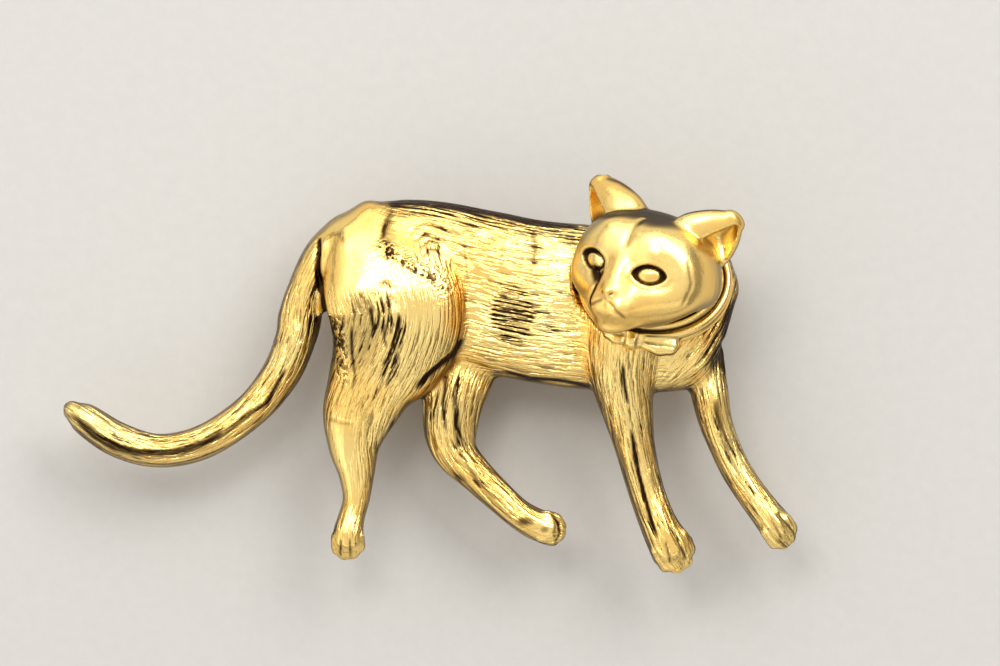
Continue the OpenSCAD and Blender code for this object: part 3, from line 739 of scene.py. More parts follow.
# Bands of painted dark reflection along a limb: width in mm, darkening from 0 to 1 and path in shares
PAINTED_DARK_BANDS = [
    [0.7, 0.80, [
        (0.010, 0.410), (0.045, 0.350), (0.070, 0.322), (0.101, 0.306),
        (0.135, 0.304), (0.164, 0.311), (0.193, 0.329), (0.229, 0.367),
    ]],
    [0.4, 0.75, [(0.215, 0.346), (0.254, 0.403), (0.277, 0.428), (0.304, 0.520)]],
    [0.5, 0.60, [(0.538, 0.505), (0.531, 0.448), (0.535, 0.377), (0.536, 0.310)]],
    [0.3, 0.55, [(0.537, 0.320), (0.549, 0.275), (0.563, 0.234), (0.581, 0.200), (0.594, 0.178)]],
    [0.5, 0.50, [(0.884, 0.440), (0.896, 0.350), (0.912, 0.290)]],
    [0.6, 0.50, [
        (0.440, 0.932), (0.499, 0.934), (0.553, 0.918), (0.607, 0.898), (0.661, 0.880), (0.700, 0.872),
    ]],
]
# Bands where a deeper colour is painted for gold mirrored in gold: as PAINTED_DARK_BANDS, with the share of
# the deeper colour
PAINTED_GOLD_REFLECTIONS = [
    [1.7, 0.80, [(0.530, 0.810), (0.536, 0.740), (0.537, 0.660), (0.531, 0.590)]],
    [1.6, 0.80, [(0.697, 0.800), (0.701, 0.720), (0.710, 0.640), (0.722, 0.570)]],
    [1.3, 0.60, [(0.694, 0.600), (0.706, 0.550), (0.716, 0.490)]],
    [0.9, 0.80, [(0.538, 0.535), (0.516, 0.500), (0.494, 0.466), (0.472, 0.425)]],
]
# Bands where the chasing is a pitted texture instead of strokes: as PAINTED_DARK_BANDS, with the share of the
# texture
PITS = [
    [1.4, 1.0, [(0.424, 0.840), (0.434, 0.822), (0.462, 0.795), (0.500, 0.757), (0.530, 0.705)]],
    [1.0, 1.0, [(0.372, 0.650), (0.377, 0.560), (0.383, 0.470)]],
]
PITS_GAIN = 1.7  # how much wider the full middle of these bands is than a bell curve's
PAINTED_DARK_BANDS_GAIN = 1.6
# Path of the fur over the chest, from behind the ear down to the leg, and the edge past which it takes over
CHEST = [
    [0.918, 0.860, 0.5, -0.4, 0.3, 1.0],
    [0.910, 0.740, 0.5, -0.4, 0.3, 1.0],
    [0.888, 0.630, 0.5, -0.4, 0.3, 1.0],
    [0.850, 0.530, 0.5, -0.4, 0.3, 1.0],
    [0.805, 0.455, 0.5, -0.4, 0.3, 1.0],
]
CHEST_EDGE = (0.800, 0.832)


def spot_strength(points, spots, size):
    """Sum over the spots of strength * exp(-d^4), where d is the distance in their own radii."""
    total = np.zeros(len(points))
    for along, up, wide, high, strength in spots:
        gap = (points[:, :2] - size.spots([along, up])) / [wide, high]
        total += strength * np.exp(-((gap**2).sum(1) ** 2))
    return total


def body_skin(limbs, size):
    """Limbs, toes and neck fused into one skin, with a ground back and the dish in it."""
    skins = [limb.skin() for limb in limbs.values()] + [neck_skin(size)]
    for name in ("near_hind", "far_hind", "near_front", "far_front"):
        skins += toe_skins(limbs[name], size)
    for points, _, _ in skins:
        low = points[:, 2] < size.dish_depth
        floor = np.zeros(len(points))
        floor[low] = dish_rise(points[low], size)
        points[:, 2] = np.maximum(points[:, 2], floor)
    return Skin(*fuse(skins, pick(BODY_VOXEL)))


def fur_owners(body, limbs, size):
    """Where the points lie on each limb, and the share of each limb's fur there: a bell curve of how far
    outside the limb they are, divided by the sum of all. The chest takes over from the trunk."""
    located = {name: limb.locate(body.points) for name, limb in limbs.items()}
    owner = {name: bell(np.maximum(place[2], 0), OWNER_BLEND) for name, place in located.items()}
    along = body.points[:, 0] / size.figure_length + 0.5
    owner["chest"] = owner["trunk"] * step_up(along, *CHEST_EDGE)
    owner["trunk"] = owner["trunk"] - owner["chest"]
    total = sum(owner.values()) + 1e-9
    return located, {name: share / total for name, share in owner.items()}


def build_body(size):
    """The casting before its chasing: the fused skin in mm with filleted creases and smooth spots. Gives
    also its limbs, where the points lie on them, their shares, and the masks of the front and of creases."""
    limbs = body_limbs(size)
    body = body_skin(limbs, size)
    limbs["chest"] = chest_fur(size)
    located, owner = fur_owners(body, limbs, size)
    front = step_up(body.points[:, 2], *CHASED_FROM) * step_up(body.normals()[:, 2], *CHASED_FACING)
    fillet = sum(owner[name] * FUR[name][4] for name in limbs)
    body.soften(3, 0.4)
    # Mask of the creases, which take painted shade
    crease = np.sum((body.around(body.points) - body.points) * body.normals(), 1)
    crease = body.spread(step_up(crease, *CREASE), 3) * front
    body.fill_creases(30, fillet * front)
    smoothed = np.clip(spot_strength(body.points, SMOOTHED, size), 0, 0.5)
    body.soften(pick(SMOOTH_ROUNDS), smoothed[:, None])
    body.soften(4, 0.4)
    return body, limbs, located, owner, front, crease


def fur_strokes(limbs, located, owner):
    """Depth of the strokes in mm before the spots are weighed in, and the fur's coordinates by sets: run and
    arc of the limb that has the greatest share, and the share of all the set's limbs."""
    count = len(owner["trunk"])
    furrow = np.zeros(count)
    fur = np.zeros((FUR_SETS, count, 3))
    best = np.full((FUR_SETS, count), -1.0)
    for seed, name in enumerate(limbs):
        run, arc, _ = located[name]
        group, depth, pitch, length, _ = FUR[name]
        share = owner[name]
        fine = strokes(10 * seed, run, arc, pitch, length)
        broad = strokes(10 * seed + 5, run, arc + 9, pitch * BROAD[0], length * BROAD[1])
        furrow += share * depth * (fine + BROAD[2] * broad)
        closer = share > best[group]
        fur[group][closer, 0], fur[group][closer, 1] = run[closer], arc[closer] + 20 * seed
        fur[group][:, 2] += share
        best[group] = np.maximum(best[group], share)
    return furrow, fur


def painted_shade_under_head(body, size):
    """Painted shade on the top of the neck, where the head sits on it: how dark it is painted."""
    neck = into(size.neck_frame(), body.points + [0, 0, size.pin_depth])
    out = np.hypot(*(neck[:, :2] / size.neck_half()).T)
    return step_up(neck[:, 2], -0.6, 0.2) * (1 - step_up(out, *NECK_EDGE))


def chase_body(body, limbs, located, owner, front, crease, size):
    """Presses the fur strokes and the chased lines into the front of the casting, and gives the attributes
    that its finish reads: fur coordinates with their shares, and how dark the plate is: antiquing in the
    strokes and lines, painted shade in creases, on the seat and under the head, and painted dark reflections
    on the steep sides and in patches and bands."""
    strength = np.clip(1 + spot_strength(body.points, SPOTS, size), *STRENGTH_RANGE)
    furrow, fur = fur_strokes(limbs, located, owner)
    furrow *= strength * front
    lines = drawn(body.points, LINES, size) * front
    body.points -= (furrow + lines)[:, None] * body.normals()
    body.soften(1, 0.25)
    seat = clear_collar(body, size)
    patches = spot_strength(body.points, PAINTED_DARK_PATCHES, size)
    painted_dark = np.maximum(patches, drawn(body.points, PAINTED_DARK_BANDS, size, PAINTED_DARK_BANDS_GAIN))
    # Antiquing in the strokes and lines, with painted shade and painted dark reflections added into the same
    # darkness
    hollow = np.clip(furrow / FULL_STROKE, 0, 1) * STROKE_DARK + np.clip(lines / FULL_LINE, 0, 1)
    hollow += crease * CREASE_PAINTED_SHADE + painted_side_reflection(body.normals())
    hollow += painted_shade_under_head(body, size) + SEAT_PAINTED_SHADE * seat + np.clip(painted_dark, 0, 1) * front
    return {
        "fur_a": fur[0], "fur_b": fur[1], "fur_c": fur[2],
        "hollow": np.clip(hollow, 0, 1),
        "fur_depth": np.clip(strength, 0, 2) * front,
        "pits": drawn(body.points, PITS, size, PITS_GAIN) * front,
        "painted_gold_reflection": drawn(body.points, PAINTED_GOLD_REFLECTIONS, size) * front,
    }


def clear_collar(body, size):
    """Presses the casting down along the neck where the ribbon lies, with walls that lean away from it.
    Gives from 0 to 1 how far each point was touched."""
    place, axes = size.neck_frame()
    frame_of = place - [0, 0, size.pin_depth], axes
    points = into(frame_of, body.points)
    out = size.off_neck(points)
    beside = np.maximum(np.maximum(out - size.ribbon_thickness, -out) - size.seat_gap, 0)
    top = SEAT_WALL * beside - size.ribbon_width / 2 - size.seat_gap
    rise = points[:, 2] - np.where(beside < SEAT_REACH, top, 1e3)
    points[:, 2] -= np.maximum(rise, 0)
    body.points = out_of(frame_of, points)
    pressed = body.spread((rise > 0).astype(float), 2)
    body.soften(4, 0.5 * pressed[:, None])
    return pressed


def painted_side_reflection(normals):
    """Painted dark reflection where the skin turns away from the front: how dark the plate is painted there,
    from 0 to its most.
    """
    facing = normals[:, 2]
    return SIDE_PAINTED_REFLECTION * (1 - step_up(facing, *SIDE_FACING)) * step_up(facing, *BACK_FACING)


def finish_mesh(name, skin_made, attributes):
    """Mesh of a finished skin, kept inside the solids' box, with its attributes."""
    low, high = (np.array(corner) / MM for corner in CAD_BOX)
    points = np.clip(skin_made.points, low, high)
    mesh = put_mesh(name, points, skin_made.quads)
    for key, values in attributes.items():
        kind = "FLOAT_VECTOR" if values.ndim == 2 else "FLOAT"
        made = mesh.attributes.new(key, kind, "POINT")
        made.data.foreach_set("vector" if values.ndim == 2 else "value", values.astype(np.float32).ravel())
    return mesh


# Swellings and hollows of the head. Turn and lift are degrees from the middle of the face, half_turn and
# half_lift are how far each spreads, and height is a share of the skull's depth. What lies off the middle
# stands on both sides.
# Columns: turn, lift, half_turn, half_lift, height
FACE = [
    [0, -36, 29, 22, 0.26],
    [0, -6, 11, 20, 0.11],
    [0, -18, 7, 5, 0.10],
    [13, -31, 12, 9, 0.13],
    [11, -48, 22, 9, 0.16],
    [15, -43, 18, 4, -0.04],
    [62, -20, 24, 20, 0.07],
    [108, -12, 26, 18, 0.10],
    [109, -42, 30, 22, -0.31],
    [26, 34, 17, 14, 0.08],
    [28, 18, 16, 8, 0.03],
    [36, -3, 13, 10, -0.09],
    [0, 62, 60, 16, -0.05],
]
SKULL_FILL = 2.25
FACE_SHIFT = 4.5  # degrees that the face lies to the left of the skull's middle
FACE_FILL = 2.8  # how flat the face is and how sharply it turns to the sides of the head
BACK_OF_SKULL = 0.85
CROWN_PAINTED_REFLECTION = 0.3  # share of the dark colour painted on top of the head as a dark reflection
CROWN_FACING = (0.70, 0.90)  # part of the normal that faces up the figure, where it starts and is full
HEAD_SEAT = (0.1, 0.8)  # mm over the head's seat between which its painted shade ends
EYE_TURN = 31  # degrees from the middle of the face
EYE_SLANT = 8  # degrees by which an eye's outer corner is raised
SOCKET = (0.51, 0.31)  # half width and half height of a socket, as shares of the eye's width
SOCKET_FILL = 1.7  # power of the superellipse round it, which gives it its corners
BOWL_DEPTH = 0.46  # mm, as are the five lengths that follow
BOWL_EDGE = 0.08  # step at the rim of the bowl
BALL_ROOT = 0.40  # depth of the eyeball's edge
BALL_RISE = 0.62
BALL_DROP = 0.08  # how far the eyeball lies below the middle of its socket
LID_HEIGHT = 0.06
LID = (1.2, 0.16)  # middle and spread of the lid, as shares of the socket's outline
SOCKET_EDGE = (0.98, 1.12)  # its darkness ends between these shares of its outline
BALL_EDGE = (0.84, 1.0)  # and starts between these shares of the eyeball's
BALL = (0.52, 0.345)  # half width and half height of an eyeball, as shares of its width
NOSE = (-17, 6.5, 4.5)  # lift and spreads in degrees
NOSE_RISE = 0.06  # mm
NOSE_DARK = 0.30
EAR = [[-0.50, 0.96, 0.56], [0.05, 0.96, 0.50], [0.52, 0.70, 0.38], [0.84, 0.38, 0.24]]
EAR_PLACE = (0.325, 0.36, -0.14)
EAR_SPLAY = 46
EAR_OPENING = {1: 44, -1: 30}
CUP_SHIFT = 0.24  # how far the cup lies to the outer edge, as a share of half the ear's width
CUP_DEPTH = 1.35  # share of the ear's thickness on the cup's side of its middle
CUP_SPAN = ((-0.12, 0.22), (0.74, 0.93))  # where it sets in and ends, as shares of the ear's length
LEAST_CUP = 0.05  # mm that half a cup is wide where the ear is too narrow for one
LEFT_EAR = 1.3  # how much thicker the left ear is, whose back faces the viewer
LEFT_EAR_SHIFT = 0.3  # how far that ear stands out from its mirrored place, in mm


def direction(turn, lift):
    """Direction of a turn and a lift in degrees, in the frame of the head."""
    turn, lift = np.radians(turn), np.radians(lift)
    return np.stack([np.cos(lift) * np.sin(turn), np.sin(lift), np.cos(lift) * np.cos(turn)], -1)


def head_radius(turn, lift, size):
    """Distance of the head's skin from its middle: a superellipse round the outline of the face and another
    one from there to the front, plus a bell curve in turn and lift for each row of the face's table."""
    way = direction(turn, lift)
    depth = size.head_depth * np.where(way[..., 2] < 0, BACK_OF_SKULL, 1)
    flat = np.abs(way[..., :2]) * 2 / [size.head_width, size.head_height]
    outline = (flat**SKULL_FILL).sum(-1) ** (1 / SKULL_FILL)
    fill = np.where(way[..., 2] < 0, SKULL_FILL, FACE_FILL)
    radius = (outline**fill + np.abs(way[..., 2] / depth) ** fill) ** (-1 / fill)
    turn = turn + FACE_SHIFT * (way[..., 2] > 0)
    for across, up, wide, high, height in FACE:
        for side in ((0,) if across == 0 else (-1, 1)):
            swelling = height * bell(turn - side * across, wide) * bell(lift - up, high)
            radius = radius + size.head_depth * swelling
    return radius


def ear_skin(side, size):
    """One ear: ovals whose width and thickness follow the ear's table, closed by a dome, with a cup taken
    out of the front. The cup's depth is an ellipse across the ear, inside its wall."""
    angle = np.linspace(0, 2 * np.pi, 120, endpoint=False)
    rows = row_at(numbers(EAR), np.linspace(0, len(EAR) - 1, 90))
    lean = dome_angles(4, 16)
    length, half, thick = (rows * [size.ear_length, size.ear_width / 2, size.ear_width / 2]).T
    length = np.append(length, length[-1] + thick[-1] * np.sin(lean))
    half, thick = np.append(half, half[-1] * np.cos(lean)), np.append(thick, thick[-1] * np.cos(lean))
    thick = thick * (LEFT_EAR if side < 0 else 1)
    x, z = half[:, None] * np.cos(angle), thick[:, None] * np.sin(angle)
    aside = x - CUP_SHIFT * half[:, None]
    cup_half = np.maximum((1 - CUP_SHIFT) * half - size.ear_wall, LEAST_CUP)
    inner = np.clip(1 - (aside / cup_half[:, None]) ** 2, 0, 1)
    share = length / size.ear_length
    cup = CUP_DEPTH * thick * step_up(share, *CUP_SPAN[0]) * (1 - step_up(share, *CUP_SPAN[1]))
    z = np.where(np.sin(angle) > 0, z - cup[:, None] * inner**0.8, z)
    rings = np.stack([x, np.repeat(length[:, None], len(angle), 1), z], 2)
    points, quads, fans = skin(rings)
    points = points @ (turned(2, -EAR_SPLAY) @ turned(1, EAR_OPENING[side])).T
    points += np.array(EAR_PLACE) * [size.head_width, size.head_height, size.head_depth]
    if side < 0:
        points, quads, fans = points * [-1, 1, 1] - [LEFT_EAR_SHIFT, 0, 0], quads[:, ::-1], fans[:, ::-1]
    return points, quads, fans


def build_head(size):
    """The head: skull and ears fused, with the eyes, the nose, the mouth and the chased lines of the face
    pressed in along the direction from the head's middle."""
    turn, lift = np.meshgrid(np.linspace(-180, 180, 360, endpoint=False), np.linspace(-88, 88, 240))
    rings = head_radius(turn, lift, size)[..., None] * direction(turn, lift)
    skins = [skin(rings), ear_skin(1, size), ear_skin(-1, size)]
    head = Skin(*fuse(skins, pick(HEAD_VOXEL)))
    head.soften(3, 0.4)
    head.fill_creases(24, 0.6)
    head.soften(2, 0.4)
    hollow = carve_face(head, size)
    seat = into(size.neck_frame(), out_of(size.head_frame(), head.points))
    rise = seat[:, 2] - size.neck_top - size.seat_gap
    # Painted shade where the head sits on the neck
    hollow = np.maximum(hollow, 1 - step_up(rise, *HEAD_SEAT))
    seat[:, 2] -= np.minimum(rise, 0)
    outward = head.normals() @ size.head_frame()[1].T
    # Painted dark reflection on the head's steep sides
    hollow = np.maximum(hollow, painted_side_reflection(outward))
    # Painted dark reflection on top of the head
    hollow += CROWN_PAINTED_REFLECTION * step_up(outward[:, 1], *CROWN_FACING) * (head.points[:, 2] > 0)
    head.points = out_of(size.neck_frame(), seat)
    return head, {"hollow": hollow}


def eye_place(points, side, size):
    """Where points lie round an eye: right and up from its middle along the skin, in mm, with the outer
    corner raised."""
    turn = side * EYE_TURN - FACE_SHIFT
    middle = direction(turn, 0) * head_radius(np.array(turn), np.array(0.0), size)
    right = unit(np.cross([0.0, 1.0, 0.0], middle))
    c, s = np.cos(np.radians(side * EYE_SLANT)), np.sin(np.radians(side * EYE_SLANT))
    gap = points - middle
    x, y = gap @ right, gap[:, 1]
    return x * c + y * s, y * c - x * s, np.linalg.norm(gap, axis=1)


# Lines of the face. Places are degrees of turn and lift. What lies off the middle is on both sides, on the
# right one at a share of its depth.
# Columns: width in degrees, depth in mm, share on the right, path
FACE_LINES = [
    [2.4, 0.05, 1.0, [(0, -24), (0, -31)]],
    [3.2, 0.10, 1.0, [(1, -25), (8, -28), (14, -32), (20, -38)]],
    [2.6, 0.12, 1.0, [(2.5, -21), (5.5, -19.5)]],
    # The next three lines are dark on the left only: painted shade in the fold between the snout and the
    # cheek, on the side turned from the light
    [5.0, 0.26, 0.15, [(14.5, -3), (17.5, -13), (16.5, -24), (16, -34), (10.5, -48)]],
    [9.0, 0.26, 0.0, [(31, -5), (27, -11), (20, -18)]],
    [8.0, 0.26, 0.0, [(24, -5), (22, -10), (18, -19)]],
    [3.2, 0.05, 1.0, [(60, 18), (66, 0), (62, -18)]],
    [9.0, 0.07, 1.0, [(0, 18), (0, 36), (0, 58)]],
]


def carve_eye(points, side, size):
    """How far an eye stands out in mm, and how dark its ring is. The socket is a bowl with a lid round it,
    and the eyeball is a dome in the bowl."""
    x, y, away = eye_place(points, side, size)
    near = away < size.eye_width
    wide, high = size.eye_width * np.array(SOCKET)
    rim = (np.abs(x / wide) ** SOCKET_FILL + np.abs(y / high) ** SOCKET_FILL) ** (1 / SOCKET_FILL)
    wide, high = size.eyeball_width * np.array(BALL)
    ball = np.hypot(x / wide, (y + BALL_DROP) / high)
    bowl = -BOWL_DEPTH * np.sqrt(np.clip(1 - rim**2, 0, 1)) - BOWL_EDGE * (rim < 1)
    dome = -BALL_ROOT + BALL_RISE * np.sqrt(np.clip(1 - ball**2, 0, 1))
    deep = np.where(ball < 1, np.maximum(bowl, dome), bowl)
    lid = LID_HEIGHT * bell(rim - LID[0], LID[1])
    return near * (deep + lid), near * (1 - step_up(rim, *SOCKET_EDGE)) * step_up(ball, *BALL_EDGE)


def carve_face(head, size):
    """Presses the eyes, the nose and the lines of the face in, and gives how dark each point is, from 0
    to 1: antiquing, and painted shade along the fold beside the snout on the left. Each line is a bell curve
    of its distance in degrees."""
    points = head.points
    radius = np.linalg.norm(points, axis=1)
    way = points / radius[:, None]
    turn = np.degrees(np.arctan2(way[:, 0], way[:, 2])) + FACE_SHIFT
    lift = np.degrees(np.arcsin(np.clip(way[:, 1], -1, 1)))
    eyes = [carve_eye(points, side, size) for side in (-1, 1)]
    push = sum(raised for raised, _ in eyes)
    hollow = np.maximum.reduce([dark for _, dark in eyes])
    for width, depth, right, path in FACE_LINES:
        for side in (-1, 1):
            place = np.column_stack([turn * side, lift])
            line = chased(place, path, width) * (points[:, 2] > 0) * (1 if side < 0 else right)
            push -= depth * line
            hollow = np.maximum(hollow, line * min(depth / FULL_LINE, 1))
    nose = bell(turn, NOSE[1]) * bell(lift - NOSE[0], NOSE[2]) * (points[:, 2] > 0)
    push += NOSE_RISE * nose
    hollow = np.maximum(hollow, NOSE_DARK * nose)
    head.points = points + push[:, None] * way
    head.soften(1, 0.3)
    return np.clip(hollow, 0, 1)


# Outline of the ribbon's section, from the inner side round its two ridges
# Columns: out as a share of the thickness, along the neck as a share of half the width
RIBBON = [
    [0.00, -1.00], [0.70, -1.00], [0.95, -0.75], [1.00, -0.45], [0.92, -0.12],
    [0.86, 0.05], [0.90, 0.25], [0.96, 0.50], [0.88, 0.82], [0.70, 0.94],
    [0.55, 0.80], [0.47, 0.62], [0.38, 0.82], [0.24, 1.00], [0.08, 0.98], [0.00, 0.80],
]
# Sections of a loop of the bow, from the knot to its end. Reach and drop are shares of the loop's length,
# width and thickness are shares of the knot's width.
# Columns: reach, width, thickness, drop
BOW_LOOP = [
    [0.05, 0.60, 0.60, 0.00],
    [0.36, 1.14, 0.74, 0.00],
    [0.62, 1.44, 0.80, 0.03],
    [0.82, 1.20, 0.66, 0.05],
]
BOW_PLACE = (-0.20, -0.70)  # shares of the neck's width and of the ribbon's thickness
BOW_TURN = -14
KNOT_STRETCH = 0.2
LEFT_LOOP = (0.62, 0.8)  # length and thickness of the left loop, as shares of the right one's
LOOP_LIFT = {1: 0.14, -1: 0.06}  # rise of each loop's end towards the neck, as a share of its reach


def bow_frame(size):
    """Place and axes of the bow in the brooch's frame: X along its loops, Y towards the neck."""
    place, axes = size.neck_frame()
    front = BOW_PLACE[1] * size.ribbon_thickness - size.neck_depth / 2
    spot = np.array([BOW_PLACE[0] * size.neck_width, front, 0])
    return place + axes @ spot, axes @ turned(2, BOW_TURN)


def hoop_skin(size):
    """The ribbon's section carried round the oval of the neck."""
    ring = circle(400)
    rows = numbers(RIBBON)
    outline = row_at(rows, np.linspace(0, len(rows) - 1, 110))
    inner = np.linspace(rows[-1, 1], rows[0, 1], 14)[1:-1]
    outline = np.vstack([outline, np.stack([inner * 0, inner], 1)])
    out = outline[:, 0] * size.ribbon_thickness
    flat = ring[:, None] * (size.neck_half() + out[None, :, None])
    rise = np.repeat((outline[:, 1] * size.ribbon_width / 2)[None], len(ring), 0)[..., None]
    points, quads, fans = skin(np.concatenate([flat, rise], 2), closed=True)
    return out_of(size.neck_frame(), points), quads[:, ::-1], fans


def loop_reach(side, size):
    """Length of a loop."""
    return size.bow_loop_length * (LEFT_LOOP[0] if side < 0 else 1)


def loop_skin(side, size):
    """One loop of the bow: ellipses whose sizes follow its table, rounded at both ends."""
    reach = loop_reach(side, size)
    rows = row_at(numbers(BOW_LOOP), np.linspace(0, len(BOW_LOOP) - 1, 60))
    middle = rows[:, 0] * reach
    half = rows[:, 1:3] * size.knot_width / 2 * (LEFT_LOOP[1] if side < 0 else 1)
    lean = dome_angles(6, 16)
    tip = 0.85 * half[-1, 0]
    middle = np.append(middle, middle[-1] + tip * np.sin(lean))
    half = np.vstack([half, half[-1] * np.cos(lean)[:, None]])
    rows[:, 3] = -side * rows[:, 3] + LOOP_LIFT[side] * rows[:, 0]
    drop = np.append(rows[:, 3], np.repeat(rows[-1, 3], len(lean))) * reach
    angle = np.linspace(0, 2 * np.pi, 96, endpoint=False)
    y = half[:, :1] * np.cos(angle) + drop[:, None]
    z = half[:, 1:] * np.sin(angle)
    rings = np.stack([np.repeat(side * middle[:, None], len(angle), 1), y, z], 2)
    points, quads, fans = skin(rings)
    if side < 0:
        quads, fans = quads[:, ::-1], fans[:, ::-1]
    return out_of(bow_frame(size), points), quads, fans


# Folds of a loop: place across it from -1 to 1 and depth in mm
FOLDS = [(-0.40, 0.07), (0.30, 0.10)]
FOLD_HALF = 0.13  # spread of a fold's bell curve across the loop
FOLD_SPAN = ((0.18, 0.34), (1.0, 1.25))  # where they start and end, as shares of the loop's length
TUCKS = (-0.32, 0.30)  # places of the knot's tucks as shares of its width
TUCK_DEPTH = 0.06  # mm
VALLEY_DEPTH = 0.10  # mm between the ribbon's two ridges
# Shares of the antiquing, and for the seam the share of painted shade
FOLD_DARK = 0.8
TUCK_DARK = 0.5
SEAM_PAINTED_SHADE = 0.35
VALLEY_DARK = 0.8
GROOVE_DARK = 0.9


def bow_folds(place, size):
    """Folds of the loops at points of the bow's frame, as depths in mm and how dark they are. A fold is a
    bell curve across a loop, which starts by the knot, spreads and thins out to the end."""
    push, hollow = np.zeros(len(place)), np.zeros(len(place))
    for side in (-1, 1):
        reach = loop_reach(side, size)
        along = side * place[:, 0] / reach
        across = (place[:, 1] + (side * 0.04 - LOOP_LIFT[side] * along) * reach) / (size.knot_width * 0.6)
        near = step_up(along, *FOLD_SPAN[0]) * (1 - step_up(along, *FOLD_SPAN[1]))
        near = near * (np.abs(across) < 1.3) * (place[:, 2] > 0)
        for middle, depth in FOLDS:
            fold = near * bell(across - middle * (0.5 + 0.6 * along), FOLD_HALF) * (1.1 - 0.6 * along)
            push += depth * fold
            hollow = np.maximum(hollow, FOLD_DARK * fold)
    return push, hollow


def knot_tucks(place, size):
    """Tucks of the knot, as bow_folds gives them, and painted shade in the seam round the knot."""
    push, hollow = np.zeros(len(place)), np.zeros(len(place))
    on_knot = (np.hypot(place[:, 0], place[:, 1]) < size.knot_width * 0.75) * (place[:, 2] > 0)
    for tuck in TUCKS:
        line = on_knot * bell(place[:, 0] / size.knot_width - tuck, 0.07)
        push += TUCK_DEPTH * line
        hollow = np.maximum(hollow, TUCK_DARK * line)
    seam = bell(np.hypot(place[:, 0], place[:, 1] * 0.8) - size.knot_width * 0.58, 0.16)
    seam = seam * (place[:, 2] > -0.3) * (np.abs(place[:, 0]) > 0.5)
    return push, np.maximum(hollow, SEAM_PAINTED_SHADE * seam)


def ribbon_grooves(neck, place, size):
    """The valley between the ribbon's ridges, away from the bow, as bow_folds gives it, with the dark groove
    in its upper edge and painted shade on its inner side. Points are given in the frames of the neck and of
    the bow."""
    out = size.off_neck(neck)
    share = out / size.ribbon_thickness
    valley = bell(neck[:, 2] / (size.ribbon_width / 2) - 0.05, 0.2) * step_up(out, 0.5, 0.9)
    valley *= 1 - step_up(-np.hypot(place[:, 0] * 0.6, place[:, 1]), -1.6, -0.9)
    groove = bell(share - 0.48, 0.11) * step_up(neck[:, 2] / size.ribbon_width, 0.10, 0.25)
    # Painted shade on the inner side, by the neck and the jaw
    inner = 1 - step_up(share, 0.06, 0.18)
    return VALLEY_DEPTH * valley, np.maximum.reduce([VALLEY_DARK * valley, GROOVE_DARK * groove, inner])


def build_collar(size):
    """The collar: ribbon, knot and loops fused, with folds, tucks and grooves pressed in."""
    knot = KNOT_STRETCH / 2 * size.knot_width
    points, quads, fans = capsule([0, -knot, 0], [0, knot, 0], size.knot_width / 2, 40, 60)
    skins = [hoop_skin(size), loop_skin(1, size), loop_skin(-1, size)]
    skins.append((out_of(bow_frame(size), points), quads, fans))
    collar = Skin(*fuse(skins, pick(COLLAR_VOXEL)))
    collar.soften(3, 0.4)
    collar.fill_creases(16, 0.5)
    collar.soften(2, 0.4)
    place = into(bow_frame(size), collar.points)
    neck = into(size.neck_frame(), collar.points)
    details = [bow_folds(place, size), knot_tucks(place, size), ribbon_grooves(neck, place, size)]
    push = sum(pressed for pressed, _ in details)
    collar.points -= push[:, None] * collar.normals()
    collar.soften(1, 0.3)
    return collar, {"hollow": np.clip(np.maximum.reduce([dark for _, dark in details]), 0, 1)}


class Wire:
    """An output socket. Arithmetic on it adds Math nodes, or Vector Math nodes where it carries a vector."""

    def __init__(self, recipe, socket):
        self.recipe, self.socket = recipe, socket

    def math(self, operation, *values):
        kind = "ShaderNodeVectorMath" if self.socket.type == "VECTOR" else "ShaderNodeMath"
        return self.recipe.node(kind, {"operation": operation}, dict(enumerate(values)))

    def __add__(self, other):
        return self.math("ADD", self, other)

    def __radd__(self, other):
        return self.math("ADD", other, self)

    def __sub__(self, other):
        return self.math("SUBTRACT", self, other)

    def __rsub__(self, other):
        return self.math("SUBTRACT", other, self)

    def __mul__(self, other):
        return self.math("MULTIPLY", self, other)

    def at_most(self, other):
        return self.math("MINIMUM", self, other)

    def at_least(self, other):
        return self.math("MAXIMUM", self, other)

    def step(self, low, high):
        """Smooth step from zero at low to one at high."""
        settings = {"interpolation_type": "SMOOTHSTEP", "clamp": True}
        values = {"Value": self, "From Min": low, "From Max": high}
        return self.recipe.node("ShaderNodeMapRange", settings, values)


class Recipe:
    """The node tree of a material that is being written."""

    def __init__(self, name):
        self.material = bpy.data.materials.new(name)
        self.material.use_nodes = True
        self.tree = self.material.node_tree
        self.tree.nodes.clear()

    def node(self, kind, settings=None, values=None, output=0):
        """Adds a node: its settings first, then its inputs as numbers, colours or wires. Gives an output."""
        made = self.tree.nodes.new(kind)
        for key, value in (settings or {}).items():
            setattr(made, key, value)
        for key, value in (values or {}).items():
            socket = made.inputs[key]
            if isinstance(value, Wire):
                self.tree.links.new(value.socket, socket)
            elif socket.type == "VECTOR" and isinstance(value, (int, float)):
                socket.default_value = (value, value, value)
            else:
                socket.default_value = value
        return Wire(self, made.outputs[output]) if len(made.outputs) else made

    def attribute(self, name, output="Fac"):
        """Attribute of the mesh, as a number or with output "Vector"."""
        return self.node("ShaderNodeAttribute", {"attribute_name": name}, output=output)

    def blend(self, share, first, second):
        """Mix of two colours."""
        values = {0: share, 6: first, 7: second}
        return self.node("ShaderNodeMix", {"data_type": "RGBA"}, values, 2)

    def clouds(self, place, scale, detail=2.0):
        """Noise from 0 to 1 round 0.5."""
        return self.node("ShaderNodeTexNoise", {}, {"Vector": place, "Scale": scale, "Detail": detail}, 0)

    def finish(self, values):
        """Principled surface with these inputs, as the material's output."""
        surface = self.node("ShaderNodeBsdfPrincipled", {}, values)
        self.node("ShaderNodeOutputMaterial", {}, {"Surface": surface})
        return self.material


def colour(values):
    """Colour of a property with its alpha."""
    return (*values, 1.0)


